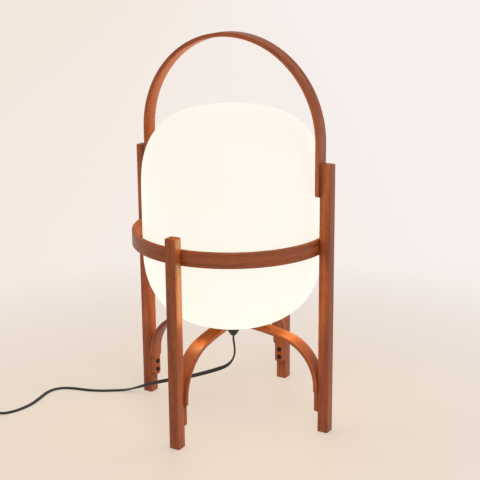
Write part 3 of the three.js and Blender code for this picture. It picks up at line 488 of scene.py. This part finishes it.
def leadTube(name, curve, facing):
    # section: two round lobes side by side with a shallow groove between them
    turn = circle(lead["sides"])
    lobe = lead["thick"] / 2
    apart = lead["width"] / 2 - lobe
    across = lead["width"] / 2 * np.cos(turn)
    rise = np.sqrt(np.maximum(lobe**2 - np.maximum(np.abs(across) - apart, 0) ** 2, 0))
    dip = lead["groove"] * np.cos(np.clip(across / apart, -1, 1) * np.pi / 2) ** 2
    through = np.sign(np.sin(turn)) * (rise - dip) * (np.abs(np.sin(turn)) > 1e-9)
    tangent = np.gradient(curve, axis=0)
    tangent /= np.linalg.norm(tangent, axis=1, keepdims=True)
    wide = facing - (facing * tangent).sum(1, keepdims=True) * tangent
    wide /= np.linalg.norm(wide, axis=1, keepdims=True)
    flat = np.cross(tangent, wide)
    grid = curve[:, None] + wide[:, None] * across[:, None] + flat[:, None] * through[:, None]
    run = runAlong(curve)
    grain = np.stack(np.broadcast_arrays(run[:, None] * lead["grainShare"], across, through), -1)
    piece = makePiece(name, grid, finishes["leadBlack"], caps=(True, True), grain=grain,
                      sharp=lead["crease"])
    return piece, float(run[-1])


def coilCurve():
    # radius falls steadily to the reversal and grows again; there the line climbs one layer in
    # half a turn, by the cubic that is level at both ends
    total = coil["turnsIn"] + coil["turnsOut"]
    turn = np.linspace(0, total, int(total * coil["perTurn"]) + 1)
    away = turn - coil["turnsIn"]
    radius = coil["inner"] + coil["pitch"] * np.abs(away)
    climb = np.clip(away * 2 + 0.5, 0, 1)
    climb = climb * climb * (3 - 2 * climb)
    angle = np.radians(coil["start"] - 360 * turn)
    return np.stack([coil["at"][0] + radius * np.cos(angle), coil["at"][1] + radius * np.sin(angle),
                     coil["low"] + coil["layer"] * climb], 1)


def layLead():
    face = np.array([*inline["at"], inline["base"]])
    way, flatWay = heading(inline["heading"]), sideOf(inline["heading"])
    inlet, outlet = face - inline["length"] / 2 * way, face + inline["length"] / 2 * way
    down = endRows([0, 0, glandTip], [0, 0, -1], leadRoute[0][3:])
    toSwitch = smoothRoute(down + leadRoute + endRows(inlet, -way, flatWay)[::-1])

    turns = coilCurve()
    start, end = turns[0] - turns[1], turns[-1] - turns[-2]
    start[2] = end[2] = 0
    startAt = turns[0] + start / np.linalg.norm(start) * lead["width"] / mm
    endAt = turns[-1] + end / np.linalg.norm(end) * lead["width"] / mm
    plugIn = np.array([*plug["at"], plug["thick"] / 2])
    plugWay = heading(plug["heading"])
    link = smoothRoute(endRows(outlet, way, flatWay) + linkRoute + [[*startAt, 0, 0, 1]])
    tail = smoothRoute([[*endAt, 0, 0, 1]] + tailRoute
                       + endRows(plugIn, -plugWay, sideOf(plug["heading"]))[::-1])
    toPlug = resample(np.vstack([link[0], turns * mm, tail[0]]),
                      np.vstack([link[1], np.tile(upward, (len(turns), 1)), tail[1]]))
    laid = []
    for name, path, cads in (("lead_to_switch", toSwitch, ["cord_lead"]),
                             ("lead_to_plug", toPlug, ["cord_link", "cord_coil", "cord_tail"])):
        piece, length = leadTube(name, *path)
        laid.append((settle(piece, cads), path[0], length))
        print(f"{name}: {length:.3f} m")
    return laid


leadRuns = layLead()


# bentwood frame: square posts, a hoop, a handle and two crossing arches
wood = {"leg": 16, "legArris": 1.1, "endArris": 0.88, "width": 22, "thick": 6, "edge": 0.9, "glue": 0.1,
        "legStations": (4, 12), "hoopStations": 144, "hoopStart": 0.7, "grainShift": (37, 11, 5)}
wood["fromMiddle"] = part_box("leg_right_front")[1][0] / mm - wood["leg"] / 2
handle = {"foot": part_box("handle_band")[0][2] / mm, "apex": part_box("handle_band")[1][2] / mm, "corner": 5,
          "stations": (9, 4), "bendSteps": 181}
arch = {"foot": 29, "corner": 4.5, "spring": 67, "bend": 71.5, "crown": 145.6, "shoulder": 61.5, "lap": 0.3,
        "stations": (8, 3.5), "nick": 0.01}
outer = wood["fromMiddle"] - wood["leg"] / 2 - wood["glue"]
inner = outer - wood["thick"]
midway = (outer + inner) / 2
corners = ["right_front", "right_rear", "left_rear", "left_front"]
# what the lights for the globe's glow fall on
wooden, arched, exceptWood = [bpy.data.collections.new(name) for name in ("wooden", "arched", "except_wood")]


def roundCorners(steps):
    # directions round the four quarter circles of a rectangle's corners, and each corner's side
    turn = (np.linspace(0, 0.5 * np.pi, steps) + 0.5 * np.pi * np.arange(4)[:, None]).ravel()
    return turn, np.repeat([1, -1, -1, 1], steps), np.repeat([1, 1, -1, -1], steps)


def roundedSection(halfWide, low, high, edge, steps=4):
    # rings of a rectangle with quarter-round corners: width along one axis, low to high on
    # the other, each row with its own sizes, and an edge that never takes up a whole side
    turn, signA, signB = roundCorners(steps)
    e = np.minimum(edge, np.minimum(halfWide, (high - low) / 2) * 0.98)[:, None]
    across = signA * (halfWide[:, None] - e) + e * np.cos(turn)
    half, middle = (high - low)[:, None] / 2, (high + low)[:, None] / 2
    through = middle + signB * (half - e) + e * np.sin(turn)
    return across, through


def strip(name, centre, outward, across, run, halfWide, low, high, edge, seed, cads, loop=False,
          finish="wood"):
    # the section carried along a line: outward is the way the strip's thickness faces there,
    # and the seed shifts the grain so that no two strips have the same figure
    halfWide, low, high = (np.broadcast_to(v, len(centre)) for v in (halfWide, low, high))
    outward, across = np.atleast_2d(outward), np.atleast_2d(across)
    rows = roundedSection(halfWide, low, high, edge)
    grid = centre[:, None] + outward[:, None] * rows[1][..., None] + across[:, None] * rows[0][..., None]
    if loop:
        run = np.append(run, run[-1] + np.linalg.norm(centre[-1] - centre[0]))
        rows = [np.vstack([v, v[:1]]) for v in rows]
    grain = np.stack([np.broadcast_to(run[:, None], rows[0].shape), *rows], -1)
    grain = grain + seed * np.array(wood["grainShift"])
    piece = makePiece(name, grid * mm, finishes[finish], loopRows=loop, caps=(not loop, not loop),
                      grain=grain * mm)
    if finish == "wood":
        wooden.objects.link(piece)
        exceptWood.objects.link(piece)
    return settle(piece, cads)


def endRounding(run, radius):
    # how far the outline is drawn in at a distance from the end: a quarter circle
    near = np.clip(run / radius, 0, 1)
    return radius * (1 - np.sqrt(np.maximum(1 - (1 - near) ** 2, 0)))


def easedRun(length, radius, fine, spacing):
    # stations along a strip: close together in the rounded ends, even in between
    end = radius * (1 - np.cos(np.linspace(0, 0.5 * np.pi, fine)))
    middle = np.linspace(end[-1], length - end[-1], int(length / spacing) + 2)[1:-1]
    return np.concatenate([end, middle, length - end[::-1]])


def makeLeg(name, turn, seed):
    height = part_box(name)[1][2] / mm
    run = easedRun(height, wood["endArris"], *wood["legStations"])
    half = wood["leg"] / 2 - endRounding(np.minimum(run, height - run), wood["endArris"])
    out = heading(turn)
    strip(name.replace("leg", "post"), out * wood["fromMiddle"] + run[:, None] * upward, out, sideOf(turn),
          run, half, -half, half, wood["legArris"], seed, [name])


def makeHoop():
    turn = circle(wood["hoopStations"]) + wood["hoopStart"]
    out = np.stack([np.cos(turn), np.sin(turn), 0 * turn], 1)
    centre = out * midway + [0, 0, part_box("hoop_band")[0][2] / mm + wood["width"] / 2]
    half = wood["thick"] / 2
    strip("hoop", centre, out, upward, midway * (turn - turn[0]), wood["width"] / 2, -half, half,
          wood["edge"], 9, ["hoop_band"], loop=True)


def straightEnd(x, start, end, count=20):
    # points up or down an upright end, which faces away from the middle
    z = np.linspace(start, end, count)
    return np.stack([x + 0 * z, z], 1), np.tile([np.sign(x), 0.0], (count, 1))


def arc(centre, radius, start, end, count=90):
    # points on a circle from one angle to another, facing away from its centre
    a = np.linspace(start, end, count)
    way = np.stack([np.cos(a), np.sin(a)], 1)
    return way * radius + centre, way


def joined(*parts):
    # one line of straight ends and arcs: its points, outward directions and lengths
    points, outs = (np.vstack(v) for v in zip(*parts))
    keep = np.concatenate([[True], np.linalg.norm(np.diff(points, axis=0), axis=1) > 1e-6])
    return points[keep], outs[keep], runAlong(points[keep])


def bentStrip(name, line, at, halfWide, low, high, turn, seed, cads):
    # a strip along a line that stands upright over a heading
    points, outs = sampled(at, line[2], *line[:2])
    outs /= np.linalg.norm(outs, axis=1, keepdims=True)
    centre, out = (v[:, :1] * heading(turn) + v[:, 1:] * upward for v in (points, outs))
    return strip(name, centre, out, sideOf(turn), at, halfWide, low, high, wood["edge"], seed, cads)


def makeHandle():
    spring = handle["apex"] - outer
    line = joined(straightEnd(midway, handle["foot"], spring),
                  arc((0, spring), midway, 0, math.pi, handle["bendSteps"]),
                  straightEnd(-midway, spring, handle["foot"]))
    length, half = line[2][-1], wood["thick"] / 2
    at = easedRun(length, handle["corner"], *handle["stations"])
    wide = wood["width"] / 2 - endRounding(np.minimum(at, length - at), handle["corner"])
    bentStrip("handle", line, at, wide, -half, half, 0, 3, ["handle_band"])


def makeArch(name, stands, keepsUpper, seed, cad):
    # an upright foot, a tight bend and a long flat one, each tangent to the next; tongues at
    # its ends, and half its thickness cut away, above or below, where the arches cross
    rise = arch["crown"] - arch["spring"] - arch["bend"]
    span = outer - arch["bend"]
    turn = 0.5 * math.pi - 2 * math.atan(rise / span)
    crown = arch["bend"] + span / math.cos(turn)
    m = wood["thick"] / 2
    tight, flat = arch["bend"] - m, crown - m
    line = joined(straightEnd(outer - m, arch["foot"], arch["spring"]),
                  arc((span, arch["spring"]), tight, 0, turn),
                  arc((0, arch["crown"] - crown), flat, turn, math.pi - turn),
                  arc((-span, arch["spring"]), tight, math.pi - turn, math.pi),
                  straightEnd(m - outer, arch["spring"], arch["foot"]))
    length = line[2][-1]
    tongue, wide = wood["leg"] / 2, wood["width"] / 2
    shoulder, notch = arch["shoulder"] - arch["foot"], wide + arch["lap"]
    taper = shoulder - (wide - tongue)
    edges = np.array([taper, shoulder, length / 2 - notch - arch["nick"], length / 2 - notch + arch["nick"]])
    at = easedRun(length, arch["corner"], *arch["stations"])
    at = np.unique(np.concatenate([at, edges, length - edges]).round(4))
    near = np.minimum(at, length - at)
    half = tongue + np.clip(near - taper, 0, wide - tongue) - endRounding(near, arch["corner"])
    inLap = np.abs(at - length / 2) < notch
    low = np.where(inLap & keepsUpper, arch["lap"] / 2, -m)
    high = np.where(inLap & (not keepsUpper), -arch["lap"] / 2, m)
    arched.objects.link(bentStrip(name, line, at, half, low, high, stands, seed, [cad]))


for index, corner in enumerate(corners):
    makeLeg(f"leg_{corner}", 90 * index, index + 1)
makeHoop()
makeHandle()
makeArch("arch_left_right", 0, True, 6, "cross_arch_left_right")
makeArch("arch_front_rear", 90, False, 7, "cross_arch_front_rear")
print("wood bent and cut")


# bolts: a button head with a hexagon socket
bolt = {"shank": 2, "head": 3.8, "headHeight": 2.3, "socket": 1.2, "deep": 1.4, "lip": 0.4, "land": 0.35,
        "steps": 9, "sides": 48}


def boltGrid(length):
    # distance from the axis and height over the seat, row by row: the shank, the flat under
    # the head, a quarter-round dome, and a recess whose distance follows a hexagon
    b = bolt
    turn = circle(b["sides"])
    hexagon = b["socket"] / np.cos((turn + np.pi / 6) % (np.pi / 3) - np.pi / 6)
    a = np.linspace(0, 0.5 * np.pi, b["steps"])
    crown = b["socket"] + b["land"]
    rows = [(0, -length), (b["shank"] - b["lip"], -length), (b["shank"], b["lip"] - length), (b["shank"], 0),
            (b["head"] - b["lip"] / 2, 0)]
    rows += [(crown + (b["head"] - crown) * np.cos(t), b["lip"] + (b["headHeight"] - b["lip"]) * np.sin(t))
             for t in a]
    distance = np.array([np.full(len(turn), r) for r, _ in rows] + [hexagon, hexagon, 0 * turn])
    height = np.array([h for _, h in rows] + [b["headHeight"], b["headHeight"] - b["deep"],
                                              b["headHeight"] - b["deep"] - b["lip"]])
    return distance, height[:, None], turn


def makeBolt(node, name, turn):
    low, high = (np.array(v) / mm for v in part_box(node))
    out = heading(turn)
    near, far = sorted(abs(v @ out) for v in (low, high))
    distance, height, around = boltGrid(far - near - bolt["headHeight"])
    grid = roundAxis([0, 0, (low[2] + high[2]) / 2], out, sideOf(turn), near + bolt["headHeight"] - height,
                     distance, around)
    settle(closePoles(makePiece(name, grid * mm, finishes["boltBlack"])), [node])


for index, corner in enumerate(corners):
    for node in sorted(n for n in nodes if "_bolt_" in n and corner in n):
        makeBolt(node, node.replace("bolt", "button"), 90 * index)
print("bolts driven")


# globe, and the black bell under the crossing
globe = {"radius": 129.7, "lower": 119.6, "barrel": 75, "upper": 124.1, "lowPower": 2.5, "highPower": 2.85,
         "wall": 3, "mouth": 42, "rows": 48, "sides": 128}
globe["barrelHigh"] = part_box("opal_globe")[1][2] / mm - globe["upper"]
globe["barrelLow"] = globe["barrelHigh"] - globe["barrel"]


def globeSide(inset):
    # power curve from the mouth to the barrel, and another from the barrel to the pole
    g = globe
    radius = g["radius"] - inset
    start = math.acos((g["mouth"] / radius) ** (g["lowPower"] / 2))
    a = np.linspace(start, 0, g["rows"])
    low = np.stack([radius * np.cos(a) ** (2 / g["lowPower"]),
                    g["barrelLow"] - (g["lower"] - inset) * np.sin(a) ** (2 / g["lowPower"])], 1)
    b = np.linspace(0, 0.5 * np.pi, g["rows"])
    high = np.stack([radius * np.maximum(np.cos(b), 0) ** (2 / g["highPower"]),
                     g["barrelHigh"] + (g["upper"] - inset) * np.sin(b) ** (2 / g["highPower"])], 1)
    high[-1, 0] = 0
    return np.vstack([low, high])


def makeGlobe():
    profile = np.vstack([globeSide(0), globeSide(globe["wall"])[::-1]])
    piece = revolve("globe", profile, finishes["opal"], globe["sides"], closed=True)
    piece.visible_shadow = False  # lets out the light of the lamps inside it
    settle(piece, ["opal_globe"])


gland = {"reach": 12.4, "tip": 3.3, "power": 1.8, "wall": 1.4, "floor": 3, "lip": 0.35, "rows": 26,
         "sides": 72}


def glandSide(inset, foot, top):
    # distance from the middle: full at the top, falling by a power of the depth to the tip
    z = np.linspace(foot, top, gland["rows"])
    swell = 1 - ((top - z) / (top - glandTip)) ** gland["power"]
    return np.stack([gland["tip"] + (gland["reach"] - gland["tip"]) * swell - inset, z], 1)


def makeGland():
    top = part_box("gland_cone")[1][2] / mm
    lip, floor = gland["lip"], glandTip + gland["floor"]
    side, inside = glandSide(0, glandTip + lip, top - lip), glandSide(gland["wall"], floor, top)[::-1]
    profile = np.vstack([[0, glandTip], [gland["tip"] - lip, glandTip], side, [gland["reach"] - lip, top],
                         inside, [0, floor]])
    settle(revolve("bell", profile, finishes["softBlack"], gland["sides"]), ["gland_cone"])


makeGlobe()
makeGland()
print("globe and bell made")


# switch and plug: rings round a middle, each a closed outline at a height
def reach(outline, turn):
    # distance from the middle to a closed outline in each direction: every edge's line is cut
    # with the ray at once, and the farthest cut inside its edge counts
    a = np.asarray(outline, float)
    e = np.roll(a, -1, 0) - a
    w = np.stack([np.cos(turn), np.sin(turn)], 1)[:, None]
    cross = w[..., 1] * e[:, 0] - w[..., 0] * e[:, 1]
    cross = np.where(np.abs(cross) < 1e-12, 1e-12, cross)
    t = (e[:, 0] * a[:, 1] - e[:, 1] * a[:, 0]) / cross
    along = (w[..., 0] * a[:, 1] - w[..., 1] * a[:, 0]) / cross
    return np.where((along > -1e-6) & (along < 1 + 1e-6) & (t > 0), t, 0).max(1)


def box(length, width):
    # corners of a rectangle round the middle
    x, y = length / 2, width / 2
    return [(-x, -y), (x, -y), (x, y), (-x, y)]


def bend(p0, p1, p2, p3, count=14):
    # cubic curve between two places, drawn towards two others
    t = np.linspace(0, 1, count)[:, None]
    p0, p1, p2, p3 = (np.array(p, float) for p in (p0, p1, p2, p3))
    return (1 - t) ** 3 * p0 + 3 * t * (1 - t) ** 2 * p1 + 3 * t**2 * (1 - t) * p2 + t**3 * p3


def directions(count, *outlines):
    # even directions and, exactly, the corners of the outlines
    even = np.linspace(-np.pi, np.pi, count, endpoint=False)
    exact = [np.arctan2(*np.asarray(o, float).T[::-1]) for o in outlines]
    return np.unique(np.round(np.concatenate([even, *exact]), 6))


def ringPiece(name, rows, turn, spot, loop=False, middle=(0, 0)):
    # rows of (distance in every direction, height), set down at a place and turned to a heading
    r = np.array([np.broadcast_to(row[0], turn.shape) for row in rows])
    z = np.array([row[1] for row in rows])[:, None] + 0 * r
    x, y = middle[0] + r * np.cos(turn), middle[1] + r * np.sin(turn)
    c, s = heading(spot["heading"])[:2]
    grid = np.stack([spot["at"][0] + c * x - s * y, spot["at"][1] + s * x + c * y, z], -1)
    return closePoles(makePiece(name, grid * mm, finishes["blackPlastic"], loopRows=loop))


def eased(outline, low, high, below, above, steps=7):
    # rows up the side of a moulding, its lower and upper edges rounded by their own radii
    a = np.linspace(0, 0.5 * np.pi, steps)
    under = [(outline - below * (1 - math.sin(t)), low + below * (1 - math.cos(t))) for t in a]
    over = [(outline - above * (1 - math.cos(t)), high - above * (1 - math.sin(t))) for t in a]
    return under + over


def switchOutline():
    half, w, n = inline["length"] / 2, inline["width"] / 2, inline["neck"] / 2
    near, mid, full = (inline["length"] * v for v in inline["tapers"])
    side = bend((-half, -n), (-near, -n), (-mid, -w), (-full, -w))
    lower = np.vstack([side, side[::-1] * [-1, 1]])
    return np.vstack([lower, lower[::-1] * [1, -1]])


rockerWindow = {"inner": (20.7, 12.4), "frame": (24.7, 16.4), "flange": (26.9, 18.6), "play": 0.25,
                "flangeHeight": 0.9, "under": 0.1, "over": 0.5, "bevel": 0.3, "depth": 6, "rays": 120}


def makeSwitch():
    s, w = inline, rockerWindow
    inside, mouth = box(*s["pocket"]), box(*(v + 2 * w["play"] for v in w["frame"]))
    turn = directions(s["rays"], inside, mouth)
    full, pocket, window = (reach(v, turn) for v in (switchOutline(), inside, mouth))
    coverLow, under = s["base"] + s["seam"], s["height"] - s["roof"]
    base = ringPiece("switch_lower", [(0, 0)] + eased(full, 0, s["base"], s["foot"], s["arris"])
                     + [(pocket, s["base"]), (pocket, s["floor"]), (0, s["floor"])], turn, s)
    cover = ringPiece("switch_upper", eased(full, coverLow, s["height"], s["arris"], s["edge"])
                      + [(window, s["height"]), (window, under), (pocket, under), (pocket, coverLow)],
                      turn, s, loop=True)
    outlines = [box(*w[k]) for k in ("inner", "frame", "flange")]
    turn = directions(w["rays"], *outlines)
    hole, wall, flange = (reach(v, turn) for v in outlines)
    low, foot = s["height"] + s["seam"], s["height"] - w["depth"]
    top = low + w["flangeHeight"]
    rows = eased(flange, low, top, w["under"], w["over"]) + [
        (hole + w["bevel"], top), (hole, top - w["bevel"]), (hole, foot), (wall, foot), (wall, low)]
    rim = ringPiece("switch_frame", rows, turn, s, loop=True)
    for piece, node in ((base, "switch_base"), (cover, "switch_cover"), (rim, "switch_bezel")):
        settle(piece, [node])
    return [base, cover, rim]


def makePlug():
    # half of the plug's outline, from its slim rear to its face, is mirrored into the other
    p = plug
    rear, pull, full, nose, face = (p["relief"] + p["length"] * v for v in p["shares"])
    wide, slim, front = p["width"] / 2, p["rear"] / 2, p["front"] / 2
    side = np.vstack([bend((rear, -slim), (pull, -slim), (pull, -wide), (full, -wide)),
                      bend((nose, -wide), (face - p["soft"], -wide), (face, -front - p["soft"]),
                           (face, -front))])
    centre = (p["relief"] + p["length"] / 2, 0)
    turn = directions(p["rays"])
    outline = reach(np.vstack([side, side[::-1] * [1, -1]]) - centre, turn)
    edges = eased(outline, 0, p["thick"], p["edge"], p["edge"], p["edgeSteps"])
    body = ringPiece("plug_shell", [(0, 0)] + edges + [(0, p["thick"])], turn, p, middle=centre)
    # strain relief: a taper along the lead, drawn in between its ribs by a raised cosine
    x = np.linspace(0, p["relief"] + p["edge"], p["reliefSteps"])
    wave = np.cos(2 * np.pi * x / p["relief"] * (p["ribs"] + 0.5))
    wave = np.clip(p["ribShape"][0] * wave + p["ribShape"][1], 0, 1)
    radius = p["tip"] + (p["root"] - p["tip"]) * x / p["relief"] - p["ribDepth"] * (1 - wave)
    around = circle(p["sides"])
    radius, x = np.concatenate([[0], radius, [0]]), np.concatenate([[0], x, x[-1:]])
    grid = roundAxis([*p["at"], p["thick"] / 2], heading(p["heading"]), sideOf(p["heading"]), x[:, None],
                     radius[:, None], around)
    relief = closePoles(makePiece("plug_relief", grid * mm, finishes["blackPlastic"]))
    settle(relief, ["plug_body"])
    settle(body, ["plug_body"])
    return [body, relief]


tie = {"angle": 50, "width": 8, "thick": 0.7, "round": 2.4, "edge": 0.3, "steps": 9}


def makeTie():
    # a band carried round the bundle of turns, along a rectangle with round corners
    low, high = (np.array(v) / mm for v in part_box("coil_tie"))
    out, half = heading(tie["angle"]), tie["thick"] / 2
    spread = high - low
    wide = (spread[0] - tie["width"] * abs(out[1])) / abs(out[0]) / 2 - half - tie["round"]
    tall = spread[2] / 2 - half - tie["round"]
    turn, signA, signB = roundCorners(tie["steps"])
    ways = np.stack([np.cos(turn), np.sin(turn)], 1)
    points = ways * tie["round"] + np.stack([signA * wide, signB * tall], 1)
    centre, outward = (v[:, :1] * out + v[:, 1:] * upward for v in (points, ways))
    return strip("coil_band", centre + (low + high) / 2, outward, sideOf(tie["angle"]), runAlong(points),
                 tie["width"] / 2, -half, half, tie["edge"], 1, ["coil_tie"], loop=True,
                 finish="blackPlastic")


def declareLead():
    switchBits = makeSwitch() + [nodes[n] for n in nodes if n.startswith("switch_")
                                 and n not in ("switch_base", "switch_cover", "switch_bezel")]
    plugBits = makePlug() + [makeTie(), nodes["plug_pin_1"], nodes["plug_pin_2"]]


declareLead()
print("switch, plug and tie on the lead")


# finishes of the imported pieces
packed = {
    "enamel": ["gallery_tray", "holder_cap", "holder_skirt"],
    "clearRubber": ["globe_gasket"],
    "zinc": ["nipple_tube", "crossing_washer", "crossing_nut", "bulb_cap", "switch_pivot_pin",
             "switch_screw_1", "switch_screw_2", "plug_pin_1", "plug_pin_2"],
    "ceramic": ["holder_core"],
    "brass": ["holder_sleeve", "switch_contact_1", "switch_contact_2"],
    "frosted": ["bulb_glass"],
    "blackPlastic": ["switch_rocker"],
}
for finish, names in packed.items():
    for name in names:
        nodes[name].data.materials.clear()
        nodes[name].data.materials.append(finishes[finish])
print("packed pieces dressed")


# studio: a pale table top that fades to the tone of a pale room, and soft light
studio = {
    "table": (0.94, 0.79, 0.66),
    "mottle": (3, 0.985),  # its scale, and how dark it goes
    "roughness": 0.34,
    "specular": 0.3,
    "size": 28,
    "haze": (0.45, 0.22, 0.80),  # least share, and the distances from the lamp over which it grows
    "sight": (0.517, 0.856),  # sine and cosine of the camera's azimuth
    "nearLeft": (0.92, 0.78, 0.68),
    "nearRight": (0.90, 0.80, 0.74),
    "nearSpread": (-0.4, 0.4),
    "farLeft": (0.90, 0.80, 0.71),
    "farRight": (0.93, 0.87, 0.85),
    "farSpread": (-1.2, 0.6),
    "fade": (-0.3, 0.8),  # like both spreads, the places between which one tone becomes another
    "sky": (1.0, 0.98, 0.94),
    "skyLevel": 0.50,
    "warm": (1.0, 0.90, 0.40),
    "warmer": (1.0, 0.88, 0.44),
}
# place, target, size, power and colour; the top one falls on the wood alone
roomLights = {
    "key": ((1.4, -1.6, 2.6), (0, 0, 0.25), 1.8, 21.0, (1, 0.98, 0.97)),
    "fill": ((-2.2, -0.6, 1.6), (0, 0, 0.2), 1.8, 2.0, (1, 0.93, 0.86)),
    "side": ((2.4, 0.5, 1.1), (0, 0, 0.3), 1.8, 8.0, (1, 0.97, 0.97)),
    "top": ((0.5, -0.1, 2.2), (0, 0, 0.3), 1.0, 9.0, (1, 0.97, 0.95)),
}
# the globe's glow: a ball for all but the wood and two shells for the wood, each with its level,
# radius and power, its underside over the arches, and its wall beside the front leg
glow = {
    "ball": (0.285, 0.112, 1.5),
    "shells": [(0.2745, 0.1285, 3.2), (0.3295, 0.1285, 7.0)],
    "under": {"level": 0.166, "radius": 0.102, "power": 0.48, "spread": 80},
    "beside": {"place": (0.022, -0.1325, 0.238), "wide": 0.009, "tall": 0.128, "power": 0.038},
}


def makeLight(name, kind, place, power, colour, receivers=None, target=None, **settings):
    data = bpy.data.lights.new(name, kind)
    data.energy, data.color = power, colour
    for key, value in settings.items():
        setattr(data, key, value)
    light = added(name, data)
    light.location = place
    if target:
        light.rotation_euler = (Vector(place) - Vector(target)).to_track_quat("Z", "Y").to_euler()
    light.light_linking.receiver_collection = receivers
    return light


def tableFinish():
    # round the lamp the table takes light and shadow; farther off it fades to a plain tone,
    # warmer on the left, that only the camera, a gloss and a clear piece see
    f = Finish("table_top")
    at = f.place()
    x = f.node("ShaderNodeSeparateXYZ", {}, {0: at}, "X")
    y = f.node("ShaderNodeSeparateXYZ", {}, {0: at}, "Y")
    away = f.node("ShaderNodeVectorMath", {"operation": "LENGTH"}, {0: at}, "Value")
    side, ahead = studio["sight"]
    along = y * ahead - x * side
    across = x * ahead + y * side
    scale, darker = studio["mottle"]
    table = f.blend(f.noise(at, scale, 3), studio["table"], scaled(studio["table"], darker))
    top = f.node("ShaderNodeBsdfPrincipled", {}, {
        "Base Color": table, "Roughness": studio["roughness"], "Specular IOR Level": studio["specular"]})
    near = f.blend(f.stretch(across, *studio["nearSpread"]), studio["nearLeft"], studio["nearRight"])
    far = f.blend(f.stretch(across, *studio["farSpread"]), studio["farLeft"], studio["farRight"])
    tone = f.blend(f.stretch(along, *studio["fade"]), near, far)
    plain = f.node("ShaderNodeEmission", {}, {"Color": tone})
    camera, glossy, through = (f.node("ShaderNodeLightPath", {}, {}, f"Is {ray} Ray")
                               for ray in ("Camera", "Glossy", "Transmission"))
    seen = camera + glossy + through
    least, nearest, farthest = studio["haze"]
    return f.show(f.node("ShaderNodeMixShader", {}, {
        0: f.stretch(away, nearest, farthest, least) * seen, 1: top, 2: plain}))


def makeFloor():
    mesh = bpy.data.meshes.new("table_top")
    mesh.from_pydata([(x, y, 0) for x, y in box(studio["size"], studio["size"])], [], [(0, 1, 2, 3)])
    mesh.materials.append(tableFinish())
    added("table_top", mesh)


def makeRoom():
    # the camera sees the pale room, and everything else the softer sky
    f = Finish("room", bpy.data.worlds)
    sky = f.node("ShaderNodeBackground", {}, {"Color": (*studio["sky"], 1), "Strength": studio["skyLevel"]})
    room = f.node("ShaderNodeBackground", {}, {"Color": (*studio["farRight"], 1)})
    seen = f.node("ShaderNodeLightPath", {}, {}, "Is Camera Ray")
    choice = f.node("ShaderNodeMixShader", {}, {0: seen, 1: sky, 2: room})
    bpy.context.scene.world = f.show(choice, "World")


def makeLights():
    for name, (place, target, size, power, colour) in roomLights.items():
        makeLight(name, "AREA", place, power, colour, wooden if name == "top" else None, target,
                  shape="DISK", size=size)
    for entry in exceptWood.collection_objects:  # it holds the wood, and leaves it out
        entry.light_linking.link_state = "EXCLUDE"
    bpy.data.objects["globe"].light_linking.receiver_collection = exceptWood
    balls = [("glow", glow["ball"], studio["warm"], exceptWood)]
    balls += [("shell", row, studio["warmer"], wooden) for row in glow["shells"]]
    for name, (level, radius, power), colour, receivers in balls:
        makeLight(name, "POINT", (0, 0, level), power, colour, receivers, shadow_soft_size=radius)
    low, side, colour = glow["under"], glow["beside"], studio["warmer"]
    x, y, z = side["place"]
    under = makeLight("under", "AREA", (0, 0, low["level"]), low["power"], colour, arched, (0, 0, 0),
                      shape="DISK", size=2 * low["radius"], spread=math.radians(low["spread"]))
    beside = makeLight("beside", "AREA", (x, y, z), side["power"], colour, wooden, (0, y, z),
                       shape="RECTANGLE", size=side["wide"], size_y=side["tall"])
    for light in (under, beside):
        light.light_linking.blocker_collection = light.light_linking.receiver_collection
        light.visible_camera = False


makeFloor()
makeRoom()
makeLights()
print("studio lit")
